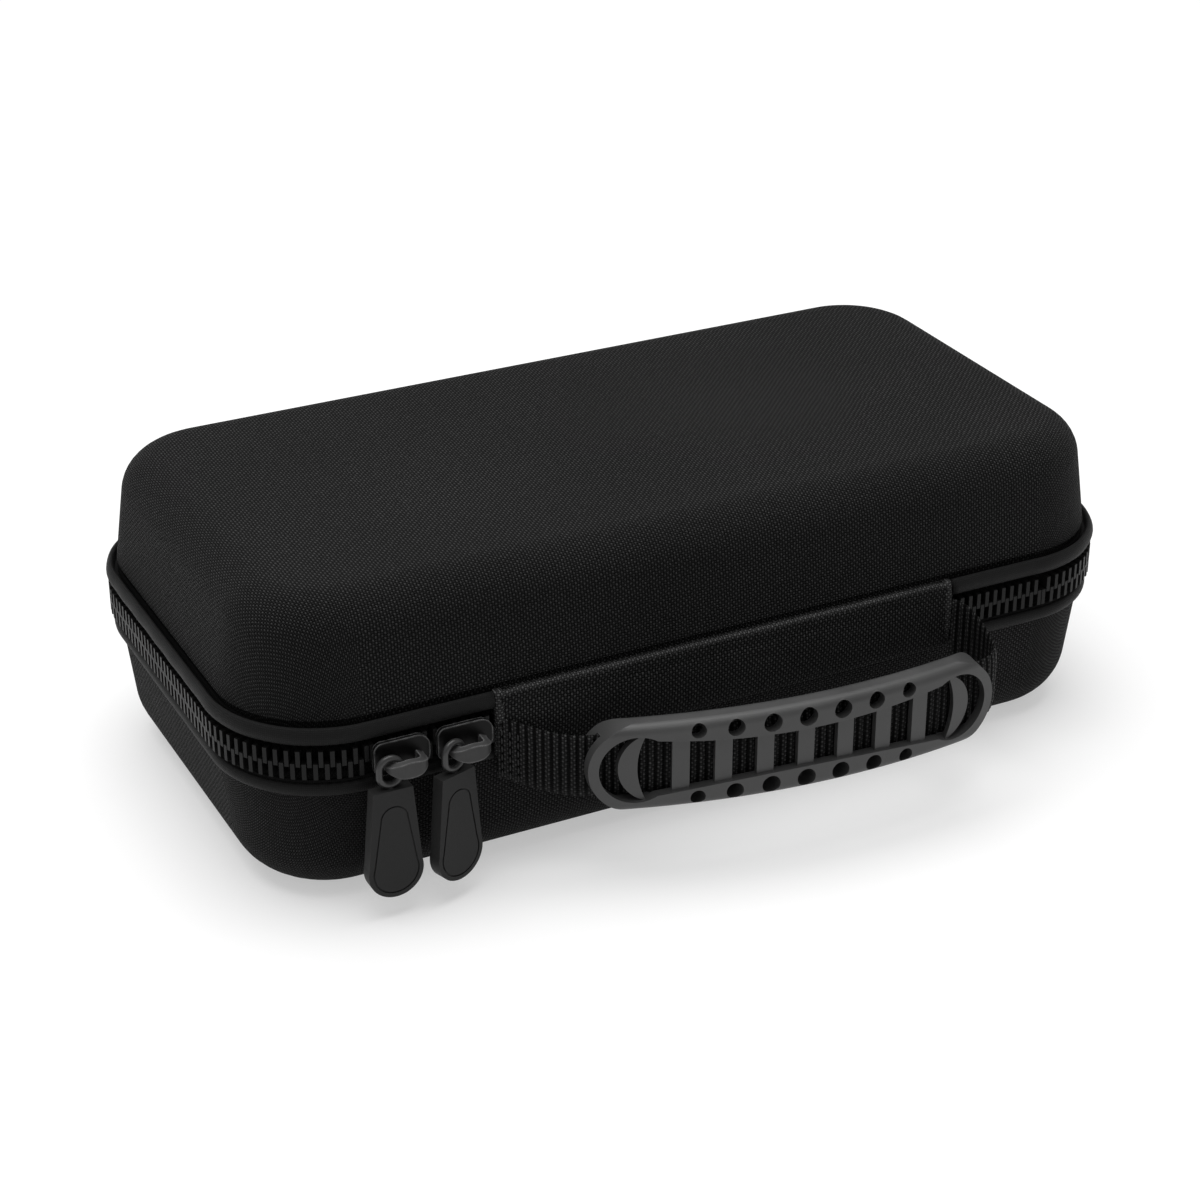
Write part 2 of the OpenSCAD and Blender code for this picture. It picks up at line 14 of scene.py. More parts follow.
import bpy
import numpy as np
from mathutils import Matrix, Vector


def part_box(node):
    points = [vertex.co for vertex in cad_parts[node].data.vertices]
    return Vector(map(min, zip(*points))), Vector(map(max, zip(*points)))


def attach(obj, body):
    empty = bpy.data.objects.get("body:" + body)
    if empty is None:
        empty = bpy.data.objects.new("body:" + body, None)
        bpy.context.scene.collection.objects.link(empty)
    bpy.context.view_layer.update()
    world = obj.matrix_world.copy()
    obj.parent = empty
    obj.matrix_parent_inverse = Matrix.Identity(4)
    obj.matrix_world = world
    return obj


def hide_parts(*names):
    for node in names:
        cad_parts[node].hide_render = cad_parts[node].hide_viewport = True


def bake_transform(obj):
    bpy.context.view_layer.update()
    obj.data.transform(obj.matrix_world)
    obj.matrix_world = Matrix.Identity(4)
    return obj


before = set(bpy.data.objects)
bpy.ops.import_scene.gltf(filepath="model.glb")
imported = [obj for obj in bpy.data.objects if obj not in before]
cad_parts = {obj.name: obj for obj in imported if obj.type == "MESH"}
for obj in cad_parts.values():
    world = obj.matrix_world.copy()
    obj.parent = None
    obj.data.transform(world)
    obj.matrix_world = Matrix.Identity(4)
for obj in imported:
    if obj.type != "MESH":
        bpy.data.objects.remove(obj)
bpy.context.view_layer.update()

log = logging.getLogger("carrying_case")
MM = 0.001
DIAGONAL = 0.7071  # cosine of 45 degrees
Point = tuple[float, float, float]
Pair = tuple[float, float]
Colour = tuple[float, float, float, float]
Piece = bpy.types.Object
Material = bpy.types.Material
Tree = bpy.types.NodeTree
Node = bpy.types.Node
Socket = bpy.types.NodeSocket


# Meshes.


def grey(value: float, warm: float = 0.0) -> Colour:
    """A neutral colour from its linear brightness, a little warmer or cooler."""
    return (value * (1 + warm), value, value * (1 - warm), 1.0)


def wobble(x: float, y: float, z: float, scale: float) -> float:
    """A smooth, repeatable unevenness between about -1 and 1.

    Args:
        x: Place along X.
        y: Place along Y.
        z: Place along Z.
        scale: Length over which it changes.

    Returns:
        The unevenness at that place.
    """
    a, b, c = x / scale, y / scale, z / scale
    return (math.sin(2.1 * a + 1.3 * b + 0.7) * math.cos(1.7 * c - 0.9 * a)
            + 0.5 * math.sin(4.3 * b - 2.9 * a + 3.1 * c + 1.9)) / 1.5


def make_object(name: str, points: Sequence[Sequence[float]], faces: Sequence[Sequence[int]],
                uvs: Sequence[Pair] | None = None) -> Piece:
    """Makes a smooth mesh object.

    Args:
        name: Name of the piece.
        points: Its corners.
        faces: Its faces, as indices of corners.
        uvs: One pair for each face corner, in face order, or nothing.

    Returns:
        The new object, linked to the scene.
    """
    mesh = bpy.data.meshes.new(name)
    mesh.from_pydata([tuple(map(float, p)) for p in points], [], [tuple(f) for f in faces])
    if uvs is not None:
        layer = mesh.uv_layers.new(name="cloth")
        layer.data.foreach_set("uv", np.asarray(uvs, np.float32).ravel())
    mesh.polygons.foreach_set("use_smooth", [True] * len(mesh.polygons))
    mesh.validate()
    mesh.update()
    made = bpy.data.objects.new(name, mesh)
    bpy.context.scene.collection.objects.link(made)
    return made


def skin(name: str, rows: np.ndarray, ring: bool = True, loop: bool = False) -> Piece:
    """Makes a skin over rows of points, with cloth coordinates in metres.

    Args:
        name: Name of the piece.
        rows: Points as an array of rows, points in a row, and 3.
        ring: Each row closes on itself, and the first and last row are capped.
        loop: The last row joins the first.

    Returns:
        The new object.
    """
    rows = np.asarray(rows, float)
    n, m = rows.shape[:2]
    middle = rows.mean(1)
    steps = np.linalg.norm(np.roll(middle, -1, 0) - middle, axis=1)
    along = np.concatenate([[0.0], np.cumsum(steps)])
    widths = np.linalg.norm(np.roll(rows, -1, 1) - rows, axis=2).mean(0)
    across = np.concatenate([[0.0], np.cumsum(widths)])
    faces, uvs = [], []
    for i in range(n if loop else n - 1):
        for j in range(m if ring else m - 1):
            k, l = (i + 1) % n, (j + 1) % m
            faces.append((i * m + j, i * m + l, k * m + l, k * m + j))
            uvs += [(along[i], across[j]), (along[i], across[j + 1]),
                    (along[i + 1], across[j + 1]), (along[i + 1], across[j])]
    if ring and not loop:
        for cap in (list(range(m))[::-1], [(n - 1) * m + j for j in range(m)]):
            faces.append(cap)
            uvs += [(rows.reshape(-1, 3)[c][0], rows.reshape(-1, 3)[c][2]) for c in cap]
    made = make_object(name, rows.reshape(-1, 3), faces, uvs)
    outward(made)
    return made


def outward(piece: Piece) -> None:
    """Turns a closed mesh's faces to look outwards."""
    mesh = piece.data
    points = np.array([v.co for v in mesh.vertices], float)
    volume = 0.0
    for face in mesh.polygons:
        a = points[face.vertices[0]]
        for i in range(1, len(face.vertices) - 1):
            volume += float(a @ np.cross(points[face.vertices[i]], points[face.vertices[i + 1]]))
    if volume < 0:
        mesh.flip_normals()


def ease(t: float) -> float:
    """A smooth step from 0 to 1."""
    t = min(1.0, max(0.0, t))
    return t * t * (3 - 2 * t)


def bezier(a: Pair, b: Pair, c: Pair, d: Pair, t: float) -> Pair:
    """A point of a smooth curve from a to d that leaves towards b and arrives from c."""
    s = 1 - t
    return tuple(s ** 3 * p + 3 * s * s * t * q + 3 * s * t * t * r + t ** 3 * w
                 for p, q, r, w in zip(a, b, c, d))


def rounded(points: Sequence[Pair], parts: int = 3) -> list[Pair]:
    """A smooth closed outline through points.

    Args:
        points: The points in order, not repeated at the end.
        parts: How many pieces each span is cut into.

    Returns:
        The points of the smooth outline.
    """
    n, line = len(points), []
    for i in range(n):
        a, b, c, d = (points[(i + k) % n] for k in (-1, 0, 1, 2))
        for j in range(parts):
            t = j / parts
            line.append(tuple(
                0.5 * (2 * q + (r - p) * t + (2 * p - 5 * q + 4 * r - w) * t * t
                       + (3 * q - p - 3 * r + w) * t ** 3)
                for p, q, r, w in zip(a, b, c, d)))
    return line


def run_along(line: np.ndarray) -> np.ndarray:
    """The distance run at each point of a line."""
    return np.concatenate([[0.0], np.cumsum(np.linalg.norm(np.diff(line, axis=0), axis=1))])


def between(place: float | np.ndarray, run: np.ndarray, values: np.ndarray) -> np.ndarray:
    """The values at one or more places along a line, from those at its points.

    Args:
        place: Distance along the line, or several.
        run: The distance run at each point.
        values: Three numbers for each point.

    Returns:
        Three numbers for each place.
    """
    return np.stack([np.interp(place, run, values[:, k]) for k in range(3)], axis=-1)


# Shader nodes.


class Graph:
    """Adds nodes to a material's or a group's tree and joins them."""

    def __init__(self, tree: Tree) -> None:
        """Starts on a tree."""
        self.tree = tree
        self.count = 0

    def add(self, kind: str, inputs: dict | None = None, **settings: object) -> Node:
        """Adds a node.

        Args:
            kind: Blender's name of the node.
            inputs: Values or sockets for its inputs, by name or number.
            **settings: Its properties.

        Returns:
            The node.
        """
        node = self.tree.nodes.new(kind)
        node.location = (220 * (self.count % 9), -260 * (self.count // 9))
        self.count += 1
        for name, value in settings.items():
            setattr(node, name, value)
        for name, value in (inputs or {}).items():
            self.put(node.inputs[name], value)
        return node

    def put(self, socket: Socket, value: object) -> None:
        """Joins a socket to another, or sets its value."""
        if isinstance(value, Socket):
            self.tree.links.new(value, socket)
        else:
            socket.default_value = value

    def math(self, operation: str, *values: object) -> Socket:
        """A Math node's value."""
        return self.add("ShaderNodeMath", dict(enumerate(values)), operation=operation).outputs[0]

    def plus(self, a: object, b: object) -> Socket:
        """The sum of two numbers."""
        return self.math("ADD", a, b)

    def times(self, a: object, b: object) -> Socket:
        """The product of two numbers."""
        return self.math("MULTIPLY", a, b)

    def line(self, a: object, b: object, c: object) -> Socket:
        """The first number times the second, plus the third."""
        return self.math("MULTIPLY_ADD", a, b, c)

    def mix(self, factor: object, a: object, b: object) -> Socket:
        """A blend between two colours."""
        return self.add("ShaderNodeMix", {0: factor, 6: a, 7: b}, data_type="RGBA").outputs[2]

    def blend(self, factor: object, a: object, b: object) -> Socket:
        """A blend between two numbers."""
        return self.add("ShaderNodeMix", {0: factor, 2: a, 3: b}, data_type="FLOAT").outputs[0]

    def ramp(self, value: object, low: float, high: float, to_low: float = 0.0,
             to_high: float = 1.0) -> Socket:
        """A value mapped from one range to another, clamped."""
        return self.add("ShaderNodeMapRange",
                        {0: value, 1: low, 2: high, 3: to_low, 4: to_high}).outputs[0]

    def noise(self, vector: object, scale: object, detail: float = 2.0, rough: float = 0.5,
              distortion: float = 0.0) -> Socket:
        """A noise texture's value."""
        return self.add("ShaderNodeTexNoise", {
            "Vector": vector, "Scale": scale, "Detail": detail, "Roughness": rough,
            "Distortion": distortion}).outputs[0]

    def scaled(self, colour: object, factor: object) -> Socket:
        """A colour times a number."""
        return self.add("ShaderNodeVectorMath", {0: colour, 3: factor},
                        operation="SCALE").outputs[0]

    def parts(self, vector: object) -> Sequence[Socket]:
        """A vector's X, Y and Z."""
        return self.add("ShaderNodeSeparateXYZ", {0: vector}).outputs

    def object_place(self) -> Socket:
        """The place on the piece itself, which moves with it."""
        return self.add("ShaderNodeTexCoord").outputs["Object"]

    def cloth_place(self) -> tuple[Socket, Socket]:
        """The place along and across a sewn piece's own cloth, in metres."""
        u, v, _ = self.parts(self.add("ShaderNodeUVMap", uv_map="cloth").outputs[0])
        return u, v

    def fill(self, node: Node, **values: object) -> Node:
        """Sets or joins a node's inputs, named with _ for a space."""
        for name, value in values.items():
            self.put(node.inputs[name.replace("_", " ")], value)
        return node

    def group(self, effect: EffectGroup, **values: object) -> Sequence[Socket]:
        """Places an effect's node group with its own values, and gives its outputs."""
        return self.fill(self.add("ShaderNodeGroup", node_tree=effect.tree()), **values).outputs


class EffectGroup:
    """A shader node group that several materials place, each with its own values."""

    name = "effect"
    takes: dict[str, float | None] = {}
    gives: tuple[str, ...] = ()

    def tree(self) -> Tree:
        """The group's tree, built once."""
        found = bpy.data.node_groups.get(self.name)
        if found:
            return found
        made = bpy.data.node_groups.new(self.name, "ShaderNodeTree")
        for label, value in self.takes.items():
            kind = "NodeSocketVector" if value is None else "NodeSocketFloat"
            socket = made.interface.new_socket(label, in_out="INPUT", socket_type=kind)
            if value is not None:
                socket.default_value = value
        for label in self.gives:
            made.interface.new_socket(label, in_out="OUTPUT", socket_type="NodeSocketFloat")
        graph = Graph(made)
        source = graph.add("NodeGroupInput")
        sink = graph.add("NodeGroupOutput")
        self.build(graph, source.outputs, sink.inputs)
        return made

    def build(self, graph: Graph, given: object, out: object) -> None:
        """Builds the group's nodes between its inputs and its outputs."""
        raise NotImplementedError


class MouldedCloth(EffectGroup):
    """Cloth drawn over a box with round corners: its flat coordinates, and which side shows."""

    name = "moulded_cloth"
    takes = {"Place": None, "Normal": None, "Half X": 0.1, "Half Y": 0.1, "Closed Side Z": 0.1,
             "Upwards": 1.0}
    gives = ("Across", "Down", "Outside")
    least_reach = 1e-6
    least_facing = 0.05

    def build(self, graph: Graph, given: object, out: object) -> None:
        """Unfolds the walls outwards from the flat middle, and marks the outer faces."""
        x, y, z = graph.parts(given["Place"])
        nx, ny, nz = graph.parts(given["Normal"])
        sides = []
        for value, half in ((x, given["Half X"]), (y, given["Half Y"])):
            kept = graph.math("MAXIMUM", graph.math("MINIMUM", value, half),
                              graph.times(half, -1.0))
            sides.append((kept, graph.math("SUBTRACT", value, kept)))
        (kept_x, over_x), (kept_y, over_y) = sides
        reach = graph.math("SQRT", graph.plus(graph.times(over_x, over_x),
                                              graph.times(over_y, over_y)))
        safe = graph.math("MAXIMUM", reach, self.least_reach)
        away_x, away_y = (graph.math("DIVIDE", over, safe) for over in (over_x, over_y))
        drop = graph.math("ABSOLUTE", graph.math("SUBTRACT", z, given["Closed Side Z"]))
        run = graph.plus(reach, drop)
        graph.put(out["Across"], graph.line(away_x, run, kept_x))
        graph.put(out["Down"], graph.line(away_y, run, kept_y))
        facing = graph.plus(graph.plus(graph.times(nx, away_x), graph.times(ny, away_y)),
                            graph.times(nz, given["Upwards"]))
        graph.put(out["Outside"], graph.math("GREATER_THAN", facing, self.least_facing))


class Weave(EffectGroup):
    """Plain-woven yarn: its height, the crowns of the yarns, and a tone for each yarn."""

    name = "woven_yarn"
    takes = {"Across": 0.0, "Down": 0.0, "Pitch": 0.0007, "Stretch": 1.0}
    gives = ("Height", "Crown", "Tone")
    drift_scale = 260.0
    drift = 0.9
    dip = 0.45
    weft_height = 0.82
    weft_crown_sheen = 0.62
    yarn_spacing = 0.37

    def build(self, graph: Graph, given: object, out: object) -> None:
        """Crosses two sets of yarns, one over and one under in turn."""
        place = graph.add("ShaderNodeCombineXYZ", {0: given["Across"], 1: given["Down"]})
        drift = graph.noise(place.outputs[0], self.drift_scale, 3.0)
        shift = graph.times(graph.math("SUBTRACT", drift, 0.5), self.drift)
        a = graph.plus(graph.math("DIVIDE", given["Across"], given["Pitch"]), shift)
        rows = graph.times(given["Pitch"], given["Stretch"])
        b = graph.math("SUBTRACT", graph.math("DIVIDE", given["Down"], rows), shift)
        hump_a, hump_b = (graph.math("ABSOLUTE", graph.math("SINE", graph.times(way, math.pi)))
                          for way in (a, b))
        cell_a, cell_b = graph.math("FLOOR", a), graph.math("FLOOR", b)
        turn = graph.math("MODULO", graph.math("ABSOLUTE", graph.plus(cell_a, cell_b)), 2.0)
        over = graph.math("GREATER_THAN", turn, 0.5)
        warp = graph.times(hump_a, graph.line(hump_b, self.dip, 1 - self.dip))
        weft = graph.times(hump_b, graph.line(hump_a, self.dip, 1 - self.dip))
        height = graph.blend(over, warp, graph.times(weft, self.weft_height))
        graph.put(out["Height"], height)
        # Weft crowns get less of the crown than warp crowns: painted sheen that changes with the
        # yarn's direction.
        graph.put(out["Crown"], graph.times(height, graph.blend(over, 1.0, self.weft_crown_sheen)))
        yarn = graph.add("ShaderNodeCombineXYZ", {0: graph.times(cell_a, self.yarn_spacing),
                                                  1: graph.times(cell_b, self.yarn_spacing)})
        graph.put(out["Tone"], graph.noise(yarn.outputs[0], 1.0, 1.0))


class Grain(EffectGroup):
    """The fine uneven skin of rubber, foam or cast metal, with soft handling marks."""

    name = "fine_grain"
    takes = {"Place": None, "Scale": 2000.0, "Mark Scale": 60.0}
    gives = ("Height", "Tone", "Marks")

    def build(self, graph: Graph, given: object, out: object) -> None:
        """Mixes a fine cellular grain with a slow tone and sparse marks."""
        place, scale, slow = given["Place"], given["Scale"], given["Mark Scale"]
        cells = graph.add("ShaderNodeTexVoronoi", {"Vector": place, "Scale": scale})
        fine = graph.noise(place, scale, 3.0)
        graph.put(out["Height"], graph.plus(graph.times(cells.outputs["Distance"], 0.6), fine))
        graph.put(out["Tone"], graph.noise(place, slow, 4.0))
        marks = graph.noise(place, graph.times(slow, 5.0), 6.0, 0.7, 1.5)
        graph.put(out["Marks"], graph.ramp(marks, 0.56, 0.72))


class EdgeWear(EffectGroup):
    """Where an edge is rubbed: 1 on sharp edges and 0 on flat faces."""

    name = "rubbed_edges"
    takes = {"Place": None, "Width": 0.0006, "Amount": 1.0}
    gives = ("Worn",)

    def build(self, graph: Graph, given: object, out: object) -> None:
        """Compares the true normal with a rounded one, and breaks it up."""
        bevel = graph.add("ShaderNodeBevel", {"Radius": given["Width"]}, samples=4)
        flat = graph.add("ShaderNodeNewGeometry").outputs["Normal"]
        dot = graph.add("ShaderNodeVectorMath", {0: bevel.outputs[0], 1: flat},
                        operation="DOT_PRODUCT")
        edge = graph.ramp(dot.outputs["Value"], 0.97, 0.75)
        patch = graph.ramp(graph.noise(given["Place"], 420.0, 4.0), 0.35, 0.6, 0.35, 1.0)
        graph.put(out["Worn"], graph.times(graph.times(edge, patch), given["Amount"]))


MADE: dict[str, Material] = {}


class Finish:
    """A finish that makes one Blender material."""

    name = "finish"

    def material(self) -> Material:
        """The material, made once."""
        if self.name in MADE:
            return MADE[self.name]
        made = MADE[self.name] = bpy.data.materials.new(self.name)
        made.use_nodes = True
        made.node_tree.nodes.clear()
        graph = Graph(made.node_tree)
        shader = graph.add("ShaderNodeBsdfPrincipled")
        sink = graph.add("ShaderNodeOutputMaterial")
        graph.put(sink.inputs["Surface"], shader.outputs[0])
        self.paint(graph, shader)
        return made

    def paint(self, graph: Graph, shader: Node) -> None:
        """Builds the finish's nodes into its shader."""
        raise NotImplementedError

    def bump(self, graph: Graph, shader: Node, height: object, depth: float,
             strength: float = 1.0) -> None:
        """Gives the shader a relief.

        Args:
            graph: The material's graph.
            shader: The shader that takes it.
            height: The relief, from 0 to 1.
            depth: The real depth of the relief.
            strength: How much of it shows.
        """
        node = graph.add("ShaderNodeBump", {"Strength": strength, "Distance": depth,
                                            "Height": height})
        graph.put(shader.inputs["Normal"], node.outputs[0])


class Woven(Finish):
    """A finish of woven yarns, with painted shade in the valleys between them and a painted
    highlight on their crowns.
    """

    # The valley colour is painted shade and the crown colour a painted highlight; the cloth's own
    # near-black lies between them.
    colour: float
    crown_highlight_colour: float
    sheen_rough = 0.45

    def yarns(self, graph: Graph,
              weave: Sequence[Socket]) -> tuple[Socket, ...]:
        """The crowns of the yarns, and their colour from painted shade in the valleys to a
        painted highlight on the crowns.
        """
        crown = graph.ramp(weave["Crown"], 0.28, 0.95)
        # From painted shade in the valleys to a painted highlight on the crowns.
        tone = graph.times(crown, graph.ramp(weave["Tone"], 0.3, 0.7, 0.7, 1.1))
        return crown, graph.mix(tone, grey(self.colour), grey(self.crown_highlight_colour))

    def unevenness(self, graph: Graph, tone: Socket) -> Socket:
        """A slow change of the cloth's brightness."""
        return graph.ramp(tone, 0.3, 0.7, 0.85, 1.15)


@dataclass(frozen=True)
class ShellCloth(Woven):
    """Ballistic cloth laminated over a moulded shell, with a brushed lining inside."""

    name: str = "shell_cloth"
    # The valley colour is painted shade and the crown colour a painted highlight.
    colour: float = 0.001
    crown_highlight_colour: float = 0.047
    lining: float = 0.03
    pitch: float = 0.92 * MM
    half_x: float = 113 * MM
    half_y: float = 42 * MM
    closed_z: float = 96 * MM
    upwards: float = 1.0

    def paint(self, graph: Graph, shader: Node) -> None:
        """Weaves the outside along the unfolded walls, with painted shade in its valleys and a
        painted highlight on its crowns, and brushes the inside.
        """
        coords = graph.add("ShaderNodeTexCoord").outputs
        cloth = graph.group(MouldedCloth(), Place=coords["Object"], Normal=coords["Normal"],
                            Half_X=self.half_x, Half_Y=self.half_y,
                            Closed_Side_Z=self.closed_z, Upwards=self.upwards)
        weave = graph.group(Weave(), Across=cloth["Across"], Down=cloth["Down"], Pitch=self.pitch)
        grain = graph.group(Grain(), Place=coords["Object"], Scale=2600.0, Mark_Scale=14.0)
        crown, outer = self.yarns(graph, weave)
        lining = graph.mix(graph.times(grain["Height"], 0.6), grey(self.lining * 0.6),
                           grey(self.lining * 1.3))
        side = cloth["Outside"]
        colour = graph.mix(side, lining, outer)
        graph.fill(shader, Base_Color=graph.scaled(colour, self.unevenness(graph, grain["Tone"])),
                   Roughness=graph.blend(side, 0.95, graph.line(crown, -0.16, 0.78)),
                   Specular_IOR_Level=0.08, Sheen_Weight=0.016, Sheen_Roughness=self.sheen_rough)
        height = graph.blend(side, graph.times(grain["Height"], 0.5), weave["Height"])
        self.bump(graph, shader, height, 0.4 * MM)


@dataclass(frozen=True)
class SewnCloth(Woven):
    """A woven cloth or tape that is cut and sewn, woven along its own length."""

    name: str = "sewn_cloth"
    # The valley colour is painted shade and the crown colour a painted highlight.
    colour: float = 0.002
    crown_highlight_colour: float = 0.068
    pitch: float = 0.92 * MM
    stretch: float = 1.0
    depth: float = 0.00028
    rough: float = 0.78
    sheen: float = 0.01
    specular: float = 0.06
    turned: bool = False
    # Pitch of the painted shade between ribs, or 0 for none.
    rib: float = 0.0

    def paint(self, graph: Graph, shader: Node) -> None:
        """Weaves along the piece's cloth coordinates, with painted shade in the weave's valleys
        and a painted highlight on its crowns, painted shade between ribs where it has them, and a
        slow unevenness.
        """
        u, v = graph.cloth_place()
        if self.turned:
            total, apart = graph.plus(u, v), graph.math("SUBTRACT", u, v)
            u, v = graph.times(total, DIAGONAL), graph.times(apart, DIAGONAL)
        weave = graph.group(Weave(), Across=u, Down=v, Pitch=self.pitch, Stretch=self.stretch)
        soft = self.unevenness(graph, graph.noise(graph.object_place(), 30.0, 3.0))
        crown, colour = self.yarns(graph, weave)
        # Painted shade: the colour darkens in the valleys between the ribs.
        if self.rib:
            wave = graph.math("COSINE", graph.times(u, 2 * math.pi / self.rib))
            soft = graph.times(soft, graph.ramp(wave, -0.4, 0.7, 0.05, 1.0))
        graph.fill(shader, Base_Color=graph.scaled(colour, soft),
                   Roughness=graph.line(crown, -0.14, self.rough),
                   Specular_IOR_Level=self.specular, Sheen_Weight=self.sheen,
                   Sheen_Roughness=self.sheen_rough)
        self.bump(graph, shader, weave["Height"], self.depth, 0.9)


@dataclass(frozen=True)
class Moulded(Finish):
    """Moulded rubber, foam or resin with a fine grain and rubbed edges."""

    name: str = "moulded"
    colour: float = 0.03
    worn_colour: float = 0.08
    rough: float = 0.5
    grain_scale: float = 2600.0
    grain_depth: float = 0.00006
    wear: float = 0.6
    wear_width: float = 0.6 * MM
    specular: float = 0.5
    # Where set, the part in front of a Y is painted lighter: a painted highlight.
    highlight_front_y: float = 0.0
    front_highlight_colour: float = 0.0

    def paint(self, graph: Graph, shader: Node) -> None:
        """Grains the surface, marks it, lightens its rubbed edges, and paints a highlight on its
        front part where it has one.
        """
        place = graph.object_place()
        grain = graph.group(Grain(), Place=place, Scale=self.grain_scale, Mark_Scale=70.0)
        worn = graph.group(EdgeWear(), Place=place, Width=self.wear_width, Amount=self.wear)
        tone = graph.ramp(grain["Tone"], 0.3, 0.7)
        colour = graph.mix(tone, grey(self.colour * 0.88), grey(self.colour * 1.12))
        # Painted highlight: the part in front of the Y limit takes a paler colour.
        if self.front_highlight_colour:
            front = graph.math("LESS_THAN", graph.parts(place)[1], self.highlight_front_y)
            colour = graph.mix(front, colour, graph.mix(
                tone, grey(self.front_highlight_colour * 0.8), grey(self.front_highlight_colour * 1.2)))
        rough = graph.line(grain["Marks"], 0.07, graph.line(tone, 0.08, self.rough - 0.04))
        graph.fill(shader, Base_Color=graph.mix(worn["Worn"], colour, grey(self.worn_colour)),
                   Roughness=rough, Specular_IOR_Level=self.specular)
        self.bump(graph, shader, grain["Height"], self.grain_depth, 0.5)


@dataclass(frozen=True)
class Net(Finish):
    """Knitted net of fine twisted threads."""

    name: str = "pocket_net_thread"
    colour: float = 0.02
    pitch: float = 0.45 * MM

    def paint(self, graph: Graph, shader: Node) -> None:
        """Twists the threads, with a painted highlight on their ridges and painted shade in their
        grooves, and varies their tone.
        """
        twist = graph.math("ABSOLUTE", graph.math("SINE", graph.times(
            graph.plus(*graph.cloth_place()), math.pi / self.pitch)))
        # Tone follows the twist: painted shade in the grooves and a painted highlight on the
        # ridges, with a random tone.
        tone = graph.times(graph.noise(graph.object_place(), 900.0, 3.0), twist)
        graph.fill(shader, Base_Color=graph.mix(tone, grey(self.colour * 0.5),
                                                grey(self.colour * 2.5)),
                   Roughness=graph.line(tone, 0.2, 0.6), Specular_IOR_Level=0.2)
        self.bump(graph, shader, twist, 0.1 * MM, 0.8)


class Cloths(Enum):
    """The sewn cloths of the case; each runs from painted shade in its weave's valleys to a
    painted highlight on its crowns.
    """

    # The spine takes the default colours, paler than the shell's same fabric: painted light on
    # the upright panel and its fold strips.
    LIT_SPINE = SewnCloth(name="lit_spine_cloth")
    # The same woven cloth painted paler: a painted highlight on the turned edge and the end hems.
    LIT_HEM = SewnCloth(name="lit_hem_cloth", pitch=0.8 * MM, colour=0.016, crown_highlight_colour=0.12)
    PIPING = SewnCloth(name="piping_cloth", pitch=0.42 * MM, depth=0.00008, colour=0.005,
                       crown_highlight_colour=0.013, rough=0.62, specular=0.13, turned=True)
    TAPE = SewnCloth(name="zip_tape_weave", pitch=0.5 * MM, stretch=1.6, depth=0.0001,
                     colour=0.0015, crown_highlight_colour=0.006)
    BINDING = SewnCloth(name="binding_grosgrain", pitch=0.6 * MM, stretch=0.5, depth=0.0002,
                        colour=0.005, crown_highlight_colour=0.014)
    # The webbing's rib valleys are darkened with painted shade.
    WEBBING = SewnCloth(name="handle_webbing_weave", pitch=1.25 * MM, stretch=0.6,
                        depth=0.0002, colour=0.006, crown_highlight_colour=0.09, rough=0.62,
                        rib=2.5 * MM)
    ELASTIC = SewnCloth(name="elastic_rib", pitch=0.9 * MM, stretch=0.45, depth=0.0003,
                        colour=0.008, crown_highlight_colour=0.022)
    THREAD = SewnCloth(name="sewing_thread", pitch=0.25 * MM, depth=0.00005, colour=0.03,
                       crown_highlight_colour=0.08, rough=0.55)


class Mouldings(Enum):
    """The moulded and cast finishes of the case."""

    GRIP = Moulded(name="grip_rubber", colour=0.046, worn_colour=0.075, rough=0.46, wear=0.5)
    PULL = Moulded(name="pull_rubber", colour=0.019, worn_colour=0.034, rough=0.55, wear=0.4,
                   specular=0.2)
    TEETH = Moulded(name="zip_tooth_resin", colour=0.007, worn_colour=0.03, rough=0.45,
                    wear=0.5, wear_width=0.25 * MM, grain_depth=0.00003, specular=0.15)
    # The slider's bridge, in front, gets a painted highlight.
    SLIDER = Moulded(name="slider_coated_metal", colour=0.003, worn_colour=0.22, rough=0.34,
                     wear=1.0, wear_width=0.9 * MM, grain_depth=0.00002, specular=0.12,
                     highlight_front_y=-79.5 * MM, front_highlight_colour=0.06)
    RING = Moulded(name="ring_coated_wire", colour=0.028, worn_colour=0.16, rough=0.3,
                   wear=0.4, wear_width=0.4 * MM, grain_depth=0.00002, specular=0.45)
    FOAM = Moulded(name="insert_foam", colour=0.014, worn_colour=0.03, rough=0.92, wear=0.4,
                   grain_scale=1500.0, grain_depth=0.0002, specular=0.2)


def dress(piece: Piece, finish: Finish) -> Piece:
    """Gives a piece its finish in every slot, and gives the piece back."""
    piece.data.materials.clear()
    piece.data.materials.append(finish.material())
    return piece


def fit(piece: Piece, finish: Cloths, body: str, node: str = "") -> None:
    """Dresses a sewn piece and joins it to the frame.

    Args:
        piece: The piece.
        finish: Its cloth.
        body: Body it rides on.
        node: CAD node it stands for, or nothing.
    """
    dress(piece, finish.value)
    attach(piece, body)
    if node:
        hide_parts(node)
    log.info("%s: %d faces on %s", piece.name, len(piece.data.polygons), body)


def soften(piece: Piece, width: float) -> None:
    """Rounds a piece's sharp edges by a width."""
    bevel = piece.modifiers.new("soft_edges", "BEVEL")
    bevel.width = width
    bevel.segments = 2
    bevel.limit_method = "ANGLE"
    bevel.angle_limit = math.radians(40)
    bevel.use_clamp_overlap = True


# The case's outline.


@dataclass(frozen=True)
class Station:
    """A place on the way round the case: its corner axis, its outward direction, its run."""

    foot: Pair
    out: Pair
    run: float

    def at(self, reach: float, height: float) -> Point:
        """The point at a distance from the corner axis, at a height."""
        return (self.foot[0] + self.out[0] * reach, self.foot[1] + self.out[1] * reach, height)


